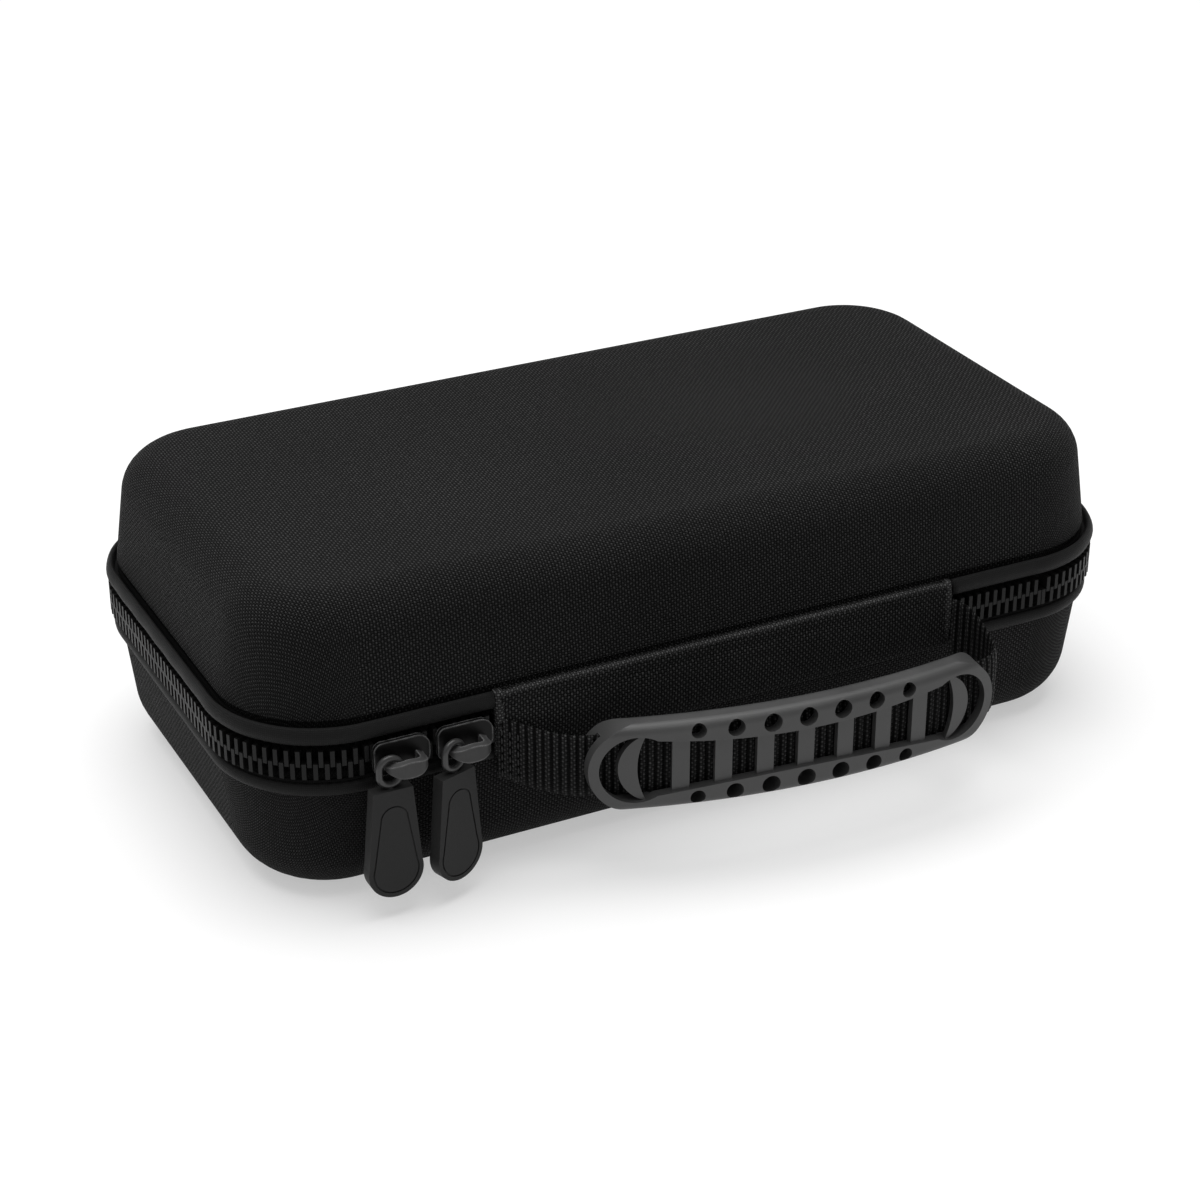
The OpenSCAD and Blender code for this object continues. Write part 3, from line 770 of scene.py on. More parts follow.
@dataclass
class CaseOutline:
    """The rounded rectangle that shells, zip and pipings follow."""

    half_x: float = 113 * MM
    half_y: float = 42 * MM
    corner: float = 32 * MM
    band_low: float = 38 * MM
    band_high: float = 62 * MM
    parting: float = 49.5 * MM
    spine_left: float = -74 * MM
    spine_right: float = 79 * MM
    top: float = 96 * MM
    wall: float = 4 * MM

    @property
    def front(self) -> float:
        """Y of the shells' front faces at the rims."""
        return -self.half_y - self.corner

    def way_round(self, start_x: float, end_x: float, step: float = 3 * MM,
                  turn: float = 4.0) -> list[Station]:
        """Stations from a place on the front, to the right and all round, to another place.

        Args:
            start_x: Where it starts on the front.
            end_x: Where it ends on the front.
            step: Spacing along straights.
            turn: Degrees between stations in corners.

        Returns:
            The stations in order.
        """
        sides = [((start_x, -self.half_y), (self.half_x, -self.half_y), -90.0),
                 ((self.half_x, -self.half_y), (self.half_x, self.half_y), 0.0),
                 ((self.half_x, self.half_y), (-self.half_x, self.half_y), 90.0),
                 ((-self.half_x, self.half_y), (-self.half_x, -self.half_y), 180.0),
                 ((-self.half_x, -self.half_y), (end_x, -self.half_y), 270.0)]
        stations: list[Station] = []
        run = 0.0
        for k, (a, b, angle) in enumerate(sides):
            length = math.dist(a, b)
            count = max(1, round(length / step))
            out = (math.cos(math.radians(angle)), math.sin(math.radians(angle)))
            for i in range(count + (1 if k == 4 else 0)):
                t = i / count
                foot = (a[0] + (b[0] - a[0]) * t, a[1] + (b[1] - a[1]) * t)
                stations.append(Station(foot, out, run + length * t))
            run += length
            if k < 4:
                parts = round(90 / turn)
                for i in range(parts):
                    now = math.radians(angle + 90 * i / parts)
                    stations.append(Station(b, (math.cos(now), math.sin(now)),
                                            run + self.corner * math.pi / 2 * i / parts))
                run += self.corner * math.pi / 2
        return self.without_twins(stations)

    @staticmethod
    def without_twins(stations: list[Station]) -> list[Station]:
        """Drops stations that repeat the one before."""
        kept = [stations[0]]
        for s in stations[1:]:
            if s.run - kept[-1].run > 0.05 * MM:
                kept.append(s)
        return kept

    def sweep(self, name: str, stations: list[Station],
              profile: Callable[[Station], list[Pair]], loop: bool = False) -> Piece:
        """Carries a closed profile along stations.

        Args:
            name: Name of the piece.
            stations: Where the profile stands.
            profile: The profile at a station, as pairs of reach and height.
            loop: The way round closes on itself.

        Returns:
            The new object.
        """
        rows = [[s.at(reach, height) for reach, height in profile(s)] for s in stations]
        return skin(name, np.array(rows), ring=True, loop=loop)


# Shells and zip.


@dataclass
class Shells:
    """The two moulded shells, which keep their solids and take a woven finish."""

    outline: CaseOutline

    def build(self) -> None:
        """Dresses both shells."""
        for node, closed, up in (("lid_shell", self.outline.top, 1.0), ("base_shell", 0.0, -1.0)):
            finish = ShellCloth(name=f"{node}_cloth", half_x=self.outline.half_x,
                                half_y=self.outline.half_y, closed_z=closed, upwards=up)
            dress(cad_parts[node], finish)
            log.info("%s: woven outside, brushed inside", node)


@dataclass(frozen=True)
class Half:
    """The lid's or the base's side of the zip.

    Up is 1 where the shell is above the zip and -1 where it is below. Edge is the height at
    which the band meets that shell.
    """

    body: str
    word: str
    up: int
    edge: float
    piping_out: float
    piping_high: float
    tape_inset: float


@dataclass
class ZipBand:
    """Pipings, zip tapes and teeth between the shells, and the bindings inside the rims."""

    outline: CaseOutline
    gap: float = 0.6 * MM
    piping_gap: float = 0.3 * MM
    tape_thick: float = 1.0 * MM
    tape_soft: float = 0.18 * MM
    seat: float = 1.2 * MM
    split: float = 0.8 * MM
    binding_thick: float = 0.9 * MM
    binding_high: float = 7.0 * MM
    rim_step: float = 6.0 * MM
    seam_step: float = 1.4 * MM

    def halves(self) -> tuple[Half, Half]:
        """The lid's half and the base's half."""
        o = self.outline
        return (Half("lid", "upper", 1, o.band_high, 3.6 * MM, 7.0 * MM, 2.4 * MM),
                Half("base", "lower", -1, o.band_low, 2.4 * MM, 5.0 * MM, 0.5 * MM))

    def open_way(self, step: float = 3 * MM) -> list[Station]:
        """The way round that leaves the spine free."""
        return self.outline.way_round(self.outline.spine_right + self.gap,
                                      self.outline.spine_left - self.gap, step)

    def build(self) -> None:
        """Builds the band's soft pieces and dresses its teeth."""
        for make in (self.piping, self.tape, self.binding):
            for half in self.halves():
                make(half)
        for node in ("lid_zip_teeth", "base_zip_teeth"):
            dress(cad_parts[node], Mouldings.TEETH.value)
            log.info("%s: moulded resin", node)

    def piping(self, half: Half) -> None:
        """Builds one piping: a corded bead with a sewn groove along its inner edge."""
        middle = half.edge - half.up * (half.piping_high / 2 + self.piping_gap)
        # across the bead: how far out, and how far up towards the shell's side
        bead = [(-0.15, -3.2), (0.35, -3.45), (0.9, -3.05), (1.15, -2.62), (1.45, -2.75),
                (2.5, -2.5), (3.3, -1.4), (3.6, 0.0), (3.35, 1.4), (2.75, 2.45), (2.05, 2.85),
                (1.45, 2.35), (1.2, 1.2), (0.95, 0.1), (-0.15, -0.5)]
        bead_out, bead_high = 3.6, 7.0

        def profile(s: Station) -> list[Pair]:
            """The bead at a station."""
            swell = 1 + 0.03 * wobble(s.run, 0.0, middle, 7 * MM)
            return rounded([(self.outline.corner + r * half.piping_out / bead_out * swell,
                             middle + half.up * z * half.piping_high / bead_high)
                            for r, z in bead])

        piece = self.outline.sweep(f"piping_{half.word}", self.open_way(2 * MM), profile)
        fit(piece, Cloths.PIPING, half.body, f"{half.body}_piping")

    def tape(self, half: Half) -> None:
        """Builds one zip tape, from beside the teeth to under the piping."""
        inner = self.outline.corner - self.seat
        outer, soft = inner + self.tape_thick, self.tape_soft
        low, high = sorted((self.outline.parting + half.up * self.split,
                            half.edge - half.up * half.tape_inset))

        def profile(s: Station) -> list[Pair]:
            """The tape's section at a station."""
            lift = 0.05 * MM * wobble(s.run, low, 0.0, 7 * MM)
            return [(inner, low + soft), (inner + soft, low), (outer - soft, low),
                    (outer + lift, low + soft), (outer + lift, (low + high) / 2),
                    (outer, high - soft), (outer - soft, high), (inner + soft, high),
                    (inner, high - soft)]

        piece = self.outline.sweep(f"tape_{half.word}", self.open_way(), profile)
        fit(piece, Cloths.TAPE, half.body, f"{half.body}_zip_tape")

    def binding(self, half: Half) -> None:
        """Builds the folded binding over a rim, with its row of stitches."""
        o, up, thick, tall = self.outline, half.up, self.binding_thick, self.binding_high
        rim = half.edge - up * self.rim_step
        inner, outer = o.corner - o.wall - thick, o.corner - self.seat

        def profile(s: Station) -> list[Pair]:
            """The folded binding at a station."""
            lift = 0.12 * MM * wobble(s.run, 0.0, rim, 6 * MM)
            line = [(outer, 0.0), (outer, thick * 0.8), (inner + thick, thick),
                    (inner + thick, tall - 0.2 * MM), (inner + thick * 0.6, tall),
                    (inner + lift, tall - 0.5 * MM), (inner + lift, tall * 0.5),
                    (inner + 0.05 * MM, thick), (inner + 0.35 * MM, 0.25 * MM),
                    (inner + 0.9 * MM, 0.0)]
            return [(r, rim - up * thick + up * h) for r, h in line]

        stations = o.way_round(0.0, 0.0)[:-1]
        piece = o.sweep(f"binding_{half.word}", stations, profile, loop=True)
        fit(piece, Cloths.BINDING, half.body, f"{half.body}_seam_binding")
        line = [s.at(inner, rim + up * (tall - thick - self.seam_step)) for s in stations]
        normal = [(-s.out[0], -s.out[1], 0.0) for s in stations]
        sew(f"binding_{half.word}_stitches", line + line[:1], normal + normal[:1], half.body)


def sew(name: str, line: Sequence[Point], normals: Sequence[Point], body: str,
        pitch: float = 3.2 * MM, length: float = 2.4 * MM, thick: float = 0.28 * MM) -> None:
    """Sews a row of raised stitches along a line, as one piece.

    Args:
        name: Name of the piece.
        line: The seam's points.
        normals: The cloth's outward direction at each point.
        body: Body it rides on.
        pitch: Distance from one stitch to the next.
        length: Length of a stitch.
        thick: Half the thread's thickness.
    """
    pts, nrm = np.array(line, float), np.array(normals, float)
    run = run_along(pts)
    points, faces, uvs = [], [], []
    rings, around = 5, 6
    wide, high = 0.6 * MM, 0.3 * MM
    for i in range(int((run[-1] - length) / pitch) + 1):
        start = len(points)
        for k in range(rings):
            t = k / (rings - 1)
            d = i * pitch + length * t
            p, n = between(d, run, pts), between(d, run, nrm)
            along = between(min(run[-1], d + 0.2 * MM), run, pts) - p
            along /= np.linalg.norm(along) or 1.0
            n = n / np.linalg.norm(n)
            side = np.cross(along, n)
            hump = math.sin(math.pi * t)
            r = thick * (0.45 + 0.55 * hump ** 0.5)
            centre = p + n * thick * (0.9 * hump - 0.35)
            for j in range(around):
                a = 2 * math.pi * j / around
                points.append(centre + r * (math.cos(a) * side + math.sin(a) * n))
        for k in range(rings - 1):
            for j in range(around):
                here, there = start + k * around, start + (k + 1) * around
                l = (j + 1) % around
                faces.append((here + j, here + l, there + l, there + j))
                uvs += [(a * wide, b * high) for a, b in ((k, j), (k, j + 1), (k + 1, j + 1),
                                                          (k + 1, j))]
        for cap in ([start + j for j in range(around)][::-1],
                    [start + (rings - 1) * around + j for j in range(around)]):
            faces.append(cap)
            uvs += [(0.0, 0.0)] * around
    piece = make_object(name, points, faces, uvs)
    outward(piece)
    dress(piece, Cloths.THREAD.value)
    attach(piece, body)


# Spine.


@dataclass
class Spine:
    """The padded panel that joins lid and base along the front, its hems and its fold strips."""

    outline: CaseOutline
    back: float = -73.3 * MM
    front: float = -77.6 * MM
    high: float = 23.1 * MM
    end_drop: float = 1.9 * MM
    end_reach: float = 9.0 * MM
    end_depth: float = 0.74
    end_parts: int = 15
    middle_parts: int = 60
    roll_thick: float = 1.7 * MM
    roll_depth: float = 4.05 * MM
    roll_drop: float = 1.55 * MM
    roll_step: float = 0.55 * MM
    pucker: float = 0.14 * MM
    strip_half: float = 0.12 * MM
    strip_slack: float = 0.5 * MM

    def full(self, x: float) -> float:
        """How full the panel is at a place along it, from 0 at an end to 1."""
        near = min(x - self.outline.spine_left, self.outline.spine_right - x)
        return math.sqrt(max(0.0, 1 - (1 - min(1.0, near / self.end_reach)) ** 2))

    def depth(self, x: float) -> float:
        """The share of its depth that the panel has at a place along it."""
        return self.end_depth + (1 - self.end_depth) * self.full(x)

    def profile(self, x: float) -> list[Pair]:
        """The panel's closed outline at a place along it, as pairs of y and z."""
        full = self.full(x)
        # depth in front of the back face, and height above the lower seam
        section = [(0.0, 2.2), (1.7, 0.65), (3.4, 0.5), (4.5, 1.9), (4.95, 5.5), (5.2, 11.5),
                   (5.05, 16.8), (4.7, 18.9), (5.0, 20.7), (4.55, 22.3), (3.4, 23.1),
                   (2.1, 22.7), (1.25, 21.3), (0.9, 19.4), (0.0, 18.4)]
        tall = 1 - self.end_drop * (1 - full) / self.high
        points = []
        for depth, height in section:
            swell = 1 + (0.03 + 0.012 * full) * wobble(x, depth * 0.002, height * MM, 13 * MM)
            points.append((self.back - depth * MM * self.depth(x) * swell,
                           self.outline.band_low + height * MM * tall))
        return rounded(points)

    def build(self) -> None:
        """Builds the panel, its turned edge, its hems and its fold strips."""
        o, n = self.outline, self.end_parts
        bend = [self.end_reach * (1 - math.cos(math.pi / 2 * i / n)) for i in range(n + 1)]
        xs = [o.spine_left + step for step in bend]
        xs += list(np.linspace(xs[-1], o.spine_right - self.end_reach, self.middle_parts)[1:-1])
        xs += [o.spine_right - step for step in bend[::-1]]
        panel = skin("spine_cushion", np.array([[(x, y, z) for y, z in self.profile(x)]
                                                for x in xs]))
        fit(panel, Cloths.LIT_SPINE, "spine", "spine_panel")
        self.roll()
        self.hem("spine_hem_left", o.spine_left, 1)
        self.hem("spine_hem_right", o.spine_right, -1)
        self.fold_strip("spine_fold_upper", o.band_high - 1.6 * MM, "lid")
        self.fold_strip("spine_fold_lower", o.band_low + 1.2 * MM, "base")

    def roll(self) -> None:
        """Builds the turned edge that runs along the panel's top, with its puckers."""
        o, around = self.outline, 10
        rows = []
        for x in np.arange(o.spine_left + 1.2 * MM, o.spine_right - 1.2 * MM, self.roll_step):
            y = self.back - self.roll_depth * self.depth(x)
            z = o.band_high - self.roll_drop - self.end_drop * (1 - self.full(x))
            r = (self.roll_thick / 2) * (1 + 0.13 * math.sin(x / (0.42 * MM))
                                         + 0.05 * wobble(x, y, z, 5 * MM))
            rows.append([(x, y + r * math.cos(a), z + r * math.sin(a))
                         for a in (2 * math.pi * j / around for j in range(around))])
        fit(skin("spine_turned_edge", np.array(rows)), Cloths.LIT_HEM, "spine")

    def hem(self, name: str, end: float, inward: int) -> None:
        """Builds the folded hem that closes one end of the panel.

        Args:
            name: Name of the piece.
            end: X of the panel's end.
            inward: 1 where the panel lies to the right of it, -1 to the left.
        """
        o, count = self.outline, 36
        # across the hem, and back from its front, in millimetres
        cut = [(-0.2, 2.2), (-0.35, 0.7), (0.35, 0.0), (1.3, -0.12), (2.2, 0.15), (2.5, 0.9),
               (1.6, 2.2)]
        rows = []
        for i in range(count):
            t = i / (count - 1)
            z = o.band_low + 2.2 * MM + t * (o.band_high - o.band_low - 3.6 * MM)
            bulge = math.sin(math.pi * t) ** 0.4
            pucker = self.pucker * math.sin(z / (0.55 * MM))
            front = self.front - (0.45 * MM + pucker) * bulge + 1.1 * MM * (1 - bulge)
            rows.append([(end + inward * across * MM, front + back * MM, z)
                         for across, back in rounded(cut, 2)])
        fit(skin(name, np.array(rows)), Cloths.LIT_HEM, "spine")

    def fold_strip(self, name: str, height: float, shell: str) -> None:
        """Builds the cloth strip that lies over the seam where the spine meets a shell.

        Args:
            name: Name of the piece.
            height: Height of the seam.
            shell: The shell's body.
        """
        o, half = self.outline, self.strip_half
        parts, along = 9, 52
        ys = np.linspace(self.back - 1.6 * MM, o.front + 1.3 * MM, parts + 1)
        line = [(y, height - self.strip_slack * math.sin(math.pi * k / parts))
                for k, y in enumerate(ys)]
        rows = [[(x, y, z + half) for y, z in line] + [(x, y, z - half) for y, z in line[::-1]]
                for x in np.linspace(o.spine_left + 1 * MM, o.spine_right - 1 * MM, along)]
        strip = skin(name, np.array(rows))
        dress(strip, Cloths.LIT_SPINE.value)
        if shell == "lid":
            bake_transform(strip)
        else:
            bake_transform(strip)
        log.info("%s: bends between spine and %s", name, shell)


# Handle.


@dataclass
class Handle:
    """Ribbed webbing from seam to seam, through a moulded rubber grip."""

    outline: CaseOutline
    width: float = 20 * MM
    thick: float = 1.5 * MM
    grip_x: float = 11.6 * MM
    grip_y: float = -99.3 * MM
    grip_z: float = 36.8 * MM
    grip_turn: float = -5.9
    grip_length: float = 129.5 * MM
    grip_bow: float = 9 * MM
    grip_thick: float = 8.5 * MM
    rib_pitch: float = 2.5 * MM
    rib_high: float = 0.5 * MM
    rib_parts: int = 8
    left_seam_y: float = -77.6 * MM
    left_seam_z: float = 43.2 * MM
    right_seam_y: float = -77.4 * MM
    right_seam_z: float = 44.8 * MM
    sag: float = 0.6 * MM
    cup: float = 0.25 * MM

    @property
    def bow_radius(self) -> float:
        """Radius of the grip's front face."""
        return ((self.grip_length / 2) ** 2 + self.grip_bow ** 2) / (2 * self.grip_bow)

    @property
    def half_angle(self) -> float:
        """Half the angle that the grip spans, in radians."""
        return math.asin(self.grip_length / 2 / self.bow_radius)

    def in_grip(self, angle: float) -> Pair:
        """A point of the webbing's middle line inside the grip."""
        r = self.bow_radius - self.grip_thick / 2
        x, y = r * math.sin(angle), self.bow_radius - self.grip_bow - r * math.cos(angle)
        t = math.radians(self.grip_turn)
        return (self.grip_x + x * math.cos(t) - y * math.sin(t),
                self.grip_y + x * math.sin(t) + y * math.cos(t))

    def middle_line(self) -> np.ndarray:
        """The webbing's middle line from the left seam to the right one, closely spaced."""
        o, half, count = self.outline, self.half_angle, 40
        turn = math.radians(self.grip_turn)
        left, right = self.in_grip(-half), self.in_grip(half)
        lean_l, lean_r = turn - half, turn + half
        seam_l = (o.spine_left - 0.1 * MM, self.left_seam_y)
        seam_r = (o.spine_right + 0.25 * MM, self.right_seam_y)
        points: list[Point] = []
        for i in range(count):
            x, y = bezier(seam_l, (seam_l[0] + 5 * MM, seam_l[1] - 1.6 * MM),
                          (left[0] - 7 * MM * math.cos(lean_l),
                           left[1] - 7 * MM * math.sin(lean_l)), left, i / count)
            t = ease((i / count) ** 0.85)
            points.append((x, y, self.left_seam_z + (self.grip_z - self.left_seam_z) * t
                           - self.sag * math.sin(math.pi * i / count)))
        points += [(*self.in_grip(half * (i / count - 1)), self.grip_z)
                   for i in range(2 * count + 1)]
        for i in range(1, count + 1):
            x, y = bezier(right, (right[0] + 12.5 * MM * math.cos(lean_r),
                                  right[1] + 12.5 * MM * math.sin(lean_r)),
                          (seam_r[0] + 8.6 * MM, seam_r[1] - 2.2 * MM), seam_r, i / count)
            rise = ease((i / count - 0.35) / 0.65)
            points.append((x, y, self.grip_z + (self.right_seam_z - self.grip_z) * rise))
        line = np.array(points)
        run = run_along(line)
        return between(np.arange(0, run[-1], self.rib_pitch / self.rib_parts), run, line)

    def build(self) -> None:
        """Builds the webbing with the stitches that hold it, and dresses the grip."""
        line = self.middle_line()
        across = np.linspace(-0.5, 0.5, 9)
        rows, normals = [], []
        for i, p in enumerate(line):
            ahead = line[min(i + 1, len(line) - 1)] - line[max(i - 1, 0)]
            normal = np.array([ahead[1], -ahead[0], 0.0])
            normal /= np.linalg.norm(normal)
            normals.append(normal)
            wave = math.cos(2 * math.pi * i / self.rib_parts)
            rib = self.rib_high * (0.5 + 0.5 * wave) ** 0.7
            row = []
            for side in (1, -1):
                for a in across[::side]:
                    edge = math.sqrt(max(0.0, 1 - (2 * a) ** 6))
                    off = (self.thick / 2 - self.rib_high + rib) * (0.35 + 0.65 * edge)
                    row.append(p + normal * (off * side - self.cup * (2 * a) ** 2)
                               + np.array([0, 0, self.width * a]))
            rows.append(row)
        webbing = skin("carry_webbing", np.array(rows))
        dress(webbing, Cloths.WEBBING.value)
        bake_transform(webbing)
        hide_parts("handle_webbing")
        for name, i in (("left_outer", 4), ("left_mid", 12), ("left_inner", 20),
                        ("right_inner", -13), ("right_outer", -5)):
            face = line[i] + normals[i] * (self.thick / 2 + 0.05 * MM)
            bar = [face + np.array([0, 0, self.width * a]) for a in (-0.45, -0.15, 0.15, 0.45)]
            sew(f"webbing_stitches_{name}", bar, [normals[i]] * len(bar), "spine",
                2.7 * MM, 2.0 * MM, 0.26 * MM)
        soften(dress(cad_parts["handle_grip"], Mouldings.GRIP.value), 0.7 * MM)
        log.info("handle_grip: moulded rubber")


# Zip sliders and pulls.


@dataclass
class Sliders:
    """The two sliders with their rings and rubber tabs."""

    bevel: float = 0.35 * MM

    def build(self) -> None:
        """Dresses the castings, rings and tabs, and rounds their edges."""
        for side in ("left", "right"):
            for node, finish in ((f"slider_{side}", Mouldings.SLIDER),
                                 (f"pull_ring_{side}", Mouldings.RING),
                                 (f"pull_tab_{side}", Mouldings.PULL)):
                piece = dress(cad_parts[node], finish.value)
                log.info("%s: %s", node, finish.name.lower())
                if "ring" not in node:
                    soften(piece, self.bevel)


# Inside.


@dataclass
class Inside:
    """The foam insert with its elastic strap, and the net pocket in the lid."""

    outline: CaseOutline
    strap_rib: float = 0.04 * MM
    strap_edge: float = 0.5 * MM
    net_high: float = 80.5 * MM
    net_sag: float = 2.0 * MM
    net_corner: float = 23 * MM
    net_pitch: float = 3.4 * MM
    net_hole: float = 0.35
    net_thick: float = 0.5 * MM
    ruffle: float = 0.22 * MM

    def build(self) -> None:
        """Builds the strap, net and hem, and dresses the insert."""
        insert = dress(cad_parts["foam_insert"], Mouldings.FOAM.value)
        log.info("foam_insert: cut foam")
        self.strap()
        self.net()
        self.hem()

    def strap(self) -> None:
        """Builds the elastic strap over the controller's recess."""
        low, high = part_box("controller_strap")
        across, along = 33, 60
        ys = np.linspace(low.y, high.y, along)
        rows = []
        for x in np.linspace(low.x, high.x, across):
            edge = math.sin(math.pi * (x - low.x) / (high.x - low.x)) ** 0.3
            top = high.z - self.strap_edge * (1 - edge)
            rows.append([(x, y, top + self.strap_rib * math.sin(y / (0.9 * MM))) for y in ys]
                        + [(x, y, low.z) for y in ys[::-1]])
        strap = skin("elastic_strap", np.array(rows))
        fit(strap, Cloths.ELASTIC, "base", "controller_strap")

    def net_point(self, u: float, v: float) -> Point:
        """A point of the net, which hangs a little slack between the lid's walls.

        Args:
            u: Share of the way along X.
            v: Share of the way along Y.

        Returns:
            The point.
        """
        low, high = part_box("mesh_pocket")
        y = low.y + v * (high.y - low.y)
        inner = max(0.0, low.y + self.net_corner - y)
        pull = self.net_corner - math.sqrt(max(0.0, self.net_corner ** 2 - inner ** 2))
        x = low.x + pull + u * (high.x - low.x - 2 * pull)
        slack = math.sin(math.pi * u) ** 0.7 * math.sin(math.pi * min(1.0, v * 0.5 + 0.02))
        return (x, y, self.net_high - self.net_sag * slack + 0.3 * MM * wobble(x, y, 0, 24 * MM))

    def net(self) -> None:
        """Builds the net with its holes open and its edges closed."""
        low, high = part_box("mesh_pocket")
        across = round((high.x - low.x) / self.net_pitch)
        down = round((high.y - low.y) / self.net_pitch)
        points: list[Point] = []
        faces: list[Sequence[int]] = []
        index: dict[Pair, int] = {}

        def at(a: float, b: float) -> int:
            """The index of the point at a place in the net, made once."""
            key = (round(a, 4), round(b, 4))
            if key not in index:
                index[key] = len(points)
                points.append(self.net_point(a / across, b / down))
            return index[key]

        ring = [(-1, -1), (0, -1), (1, -1), (1, 0), (1, 1), (0, 1), (-1, 1), (-1, 0)]
        for i in range(across):
            for j in range(down):
                x, y = i + 0.5, j + 0.5
                outer = [at(x + a / 2, y + b / 2) for a, b in ring]
                inner = [at(x + self.net_hole * a / math.hypot(a, b),
                            y + self.net_hole * b / math.hypot(a, b)) for a, b in ring]
                for k in range(len(ring)):
                    n = (k + 1) % len(ring)
                    faces.append((outer[k], outer[n], inner[n], inner[k]))
                if i in (0, across - 1) or j in (0, down - 1):
                    faces.append(inner)
        net = make_object("pocket_net", points, faces, [points[v][:2] for f in faces for v in f])
        thick = net.modifiers.new("thread", "SOLIDIFY")
        thick.thickness, thick.offset = self.net_thick, 0
        dress(net, Net())
        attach(net, "lid")
        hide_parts("mesh_pocket")
        log.info("pocket_net: %d x %d holes", across - 2, down - 2)

    def hem(self) -> None:
        """Builds the gathered elastic hem along the pocket's mouth."""
        low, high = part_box("pocket_hem")
        middle, half = (low + high) / 2, (high - low) / 2
        along, around = 170, 14
        rows = []
        for u in np.linspace(0.0, 1.0, along):
            x = low.x + (high.x - low.x) * u
            slack = self.net_sag * 0.9 * math.sin(math.pi * u) ** 0.7
            tall = half.z - 0.25 * MM + self.ruffle * math.sin(x / (1.1 * MM))
            row = []
            for j in range(around):
                a = 2 * math.pi * j / around
                c, s = math.cos(a), math.sin(a)
                row.append((x, middle.y + half.y * math.copysign(abs(c) ** 0.6, c),
                            middle.z + tall * math.copysign(abs(s) ** 0.8, s) - slack))
            rows.append(row)
        hem = skin("pocket_elastic_hem", np.array(rows))
        fit(hem, Cloths.ELASTIC, "lid", "pocket_hem")


# Camera, light and floor.


def stand(name: str, data: bpy.types.ID, place: Point, target: Point) -> Piece:
    """Stands a camera or a lamp at a place, turned to a target.

    Args:
        name: Its name.
        data: The camera's or the lamp's own data.
        place: Where it stands.
        target: What it looks at.

    Returns:
        The new object.
    """
    made = bpy.data.objects.new(name, data)
    bpy.context.scene.collection.objects.link(made)
    made.location = place
    made.rotation_mode = "QUATERNION"
    made.rotation_quaternion = (Vector(target) - Vector(place)).to_track_quat("-Z", "Y")
    return made


@dataclass
class Camera:
    """The photograph's point of view."""

    place: Point = (-351.9 * MM, -692.3 * MM, 441.9 * MM)
    target: Point = (-33.45 * MM, -61.89 * MM, 73.79 * MM)
    lens: float = 82.25
    sensor: float = 36.0
    clip: Pair = (0.01, 50.0)

    def build(self) -> None:
        """Makes the camera and sets it."""
        data = bpy.data.cameras.new("photo_camera")
        data.lens, data.sensor_width = self.lens, self.sensor
        data.clip_start, data.clip_end = self.clip
        bpy.context.scene.camera = stand("photo_camera", data, self.place, self.target)


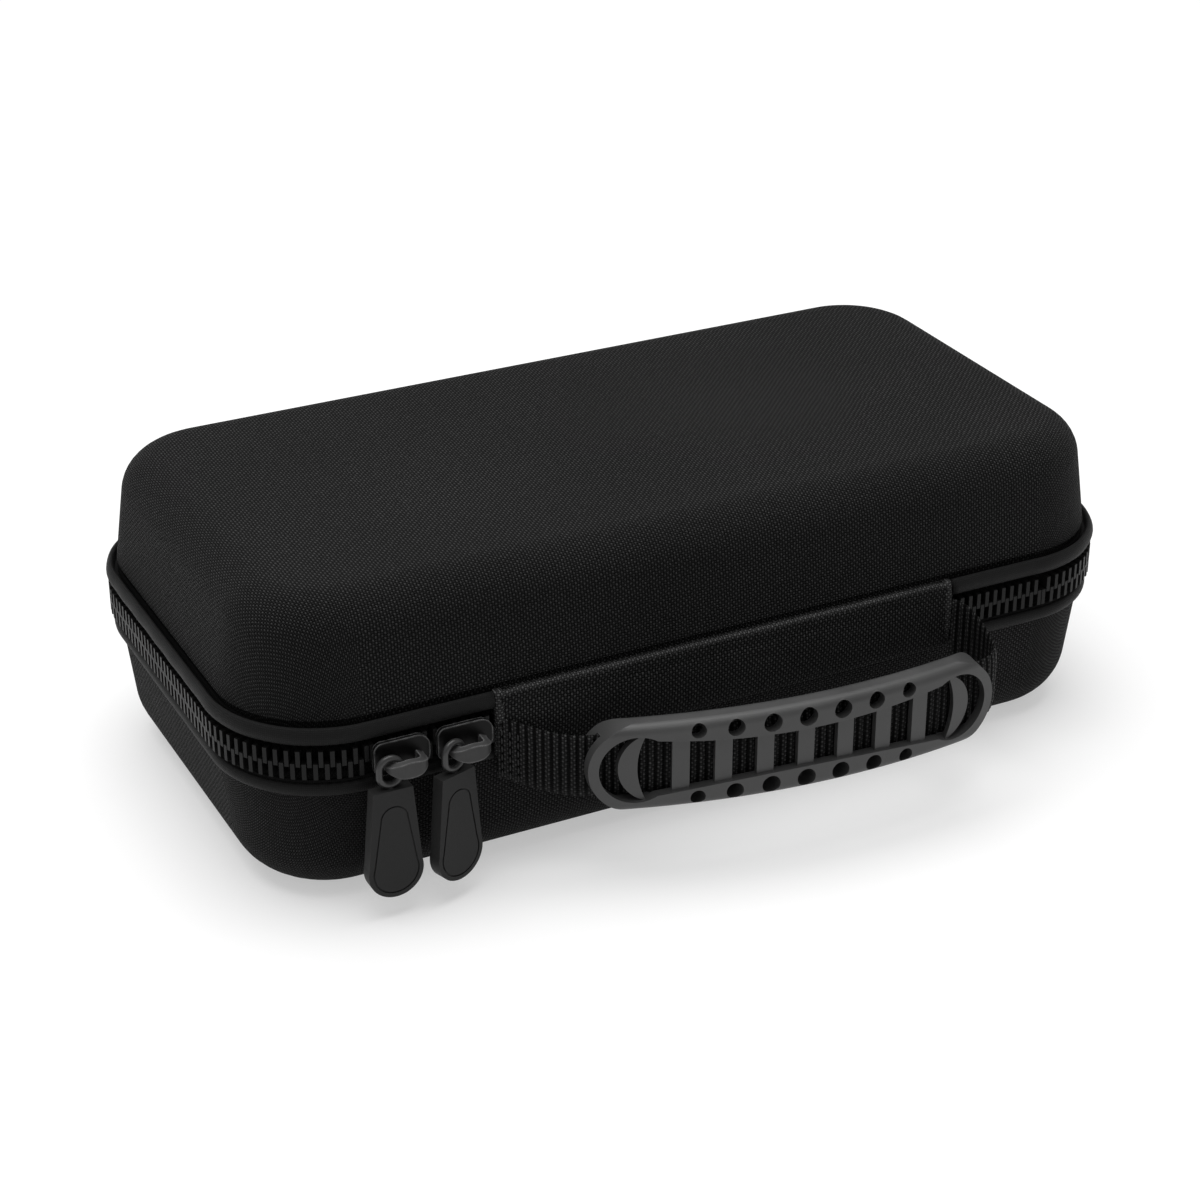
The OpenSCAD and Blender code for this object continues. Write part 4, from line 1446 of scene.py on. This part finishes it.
@dataclass(frozen=True)
class PaleFloor(Finish):
    """A pale studio floor that keeps the case's shadow."""

    name: str = "pale_floor"
    colour: float = 0.55
    lift: float = 0.45
    near: float = 0.5
    far: float = 1.6
    far_colour: float = 0.05

    def paint(self, graph: Graph, shader: Node) -> None:
        """Speckles the floor faintly, and lifts it towards white for the camera."""
        place = graph.object_place()
        tone = graph.noise(place, 40.0, 3.0)
        reach = graph.add("ShaderNodeVectorMath", {0: place}, operation="LENGTH").outputs["Value"]
        far = graph.ramp(reach, self.near, self.far)
        speckled = graph.mix(tone, grey(self.colour * 0.99), grey(self.colour * 1.01))
        graph.fill(shader, Base_Color=graph.mix(far, speckled, grey(self.far_colour)),
                   Roughness=graph.line(tone, 0.05, 0.9), Specular_IOR_Level=0.1)
        path = graph.add("ShaderNodeLightPath").outputs
        seen = graph.math("MAXIMUM", path["Is Camera Ray"], graph.math(
            "MAXIMUM", path["Is Glossy Ray"], path["Is Transmission Ray"]))
        rise = graph.blend(far, self.lift, 1 - self.far_colour)
        lift = graph.add("ShaderNodeEmission", {"Color": (1, 1, 1, 1),
                                                "Strength": graph.times(seen, rise)})
        both = graph.add("ShaderNodeAddShader", {0: shader.outputs[0], 1: lift.outputs[0]})
        sink = next(n for n in graph.tree.nodes if n.type == "OUTPUT_MATERIAL")
        graph.put(sink.inputs["Surface"], both.outputs[0])


@dataclass
class Studio:
    """The floor, the soft lamps and the white surroundings."""

    floor_half: float = 4.0
    floor_drop: float = 0.1 * MM
    key_place: Point = (-0.08, 0.18, 1.5)
    key_power: float = 26.0
    key_size: float = 1.6
    fill_place: Point = (-1.5, -0.9, 1.0)
    fill_power: float = 0.6
    fill_size: float = 1.2
    target: Point = (0, 0, 0.05)
    surround: float = 0.42

    def build(self) -> None:
        """Makes the floor, lamps and world."""
        corners = [(x * self.floor_half, y * self.floor_half, -self.floor_drop)
                   for x, y in ((-1, -1), (1, -1), (1, 1), (-1, 1))]
        floor = make_object("studio_floor", corners, [(0, 1, 2, 3)])
        dress(floor, PaleFloor())
        self.lamp("key_above", self.key_place, self.key_size, self.key_power)
        self.lamp("fill_left", self.fill_place, self.fill_size, self.fill_power)
        world = bpy.context.scene.world = bpy.data.worlds.new("studio_world")
        world.use_nodes = True
        world.node_tree.nodes.clear()
        graph = Graph(world.node_tree)
        seen = graph.add("ShaderNodeLightPath").outputs["Is Camera Ray"]
        sky = graph.add("ShaderNodeBackground", {
            "Color": (1, 1, 1, 1), "Strength": graph.blend(seen, self.surround, 1.0)})
        graph.add("ShaderNodeOutputWorld", {"Surface": sky.outputs[0]})
        bpy.context.scene.view_settings.view_transform = "Standard"

    def lamp(self, name: str, place: Point, size: float, power: float) -> None:
        """Makes one soft square lamp of a size in metres and a power in watts."""
        data = bpy.data.lights.new(name, "AREA")
        data.shape, data.size, data.energy = "SQUARE", size, power
        stand(name, data, place, self.target)


def main() -> None:
    """Builds the case, its surroundings and the camera."""
    logging.basicConfig(level=logging.INFO, format="%(message)s")
    Camera().build()
    Studio().build()
    outline = CaseOutline()
    Shells(outline).build()
    ZipBand(outline).build()
    Spine(outline).build()
    Handle(outline).build()
    Sliders().build()
    Inside(outline).build()


if __name__ == "__main__":
    main()
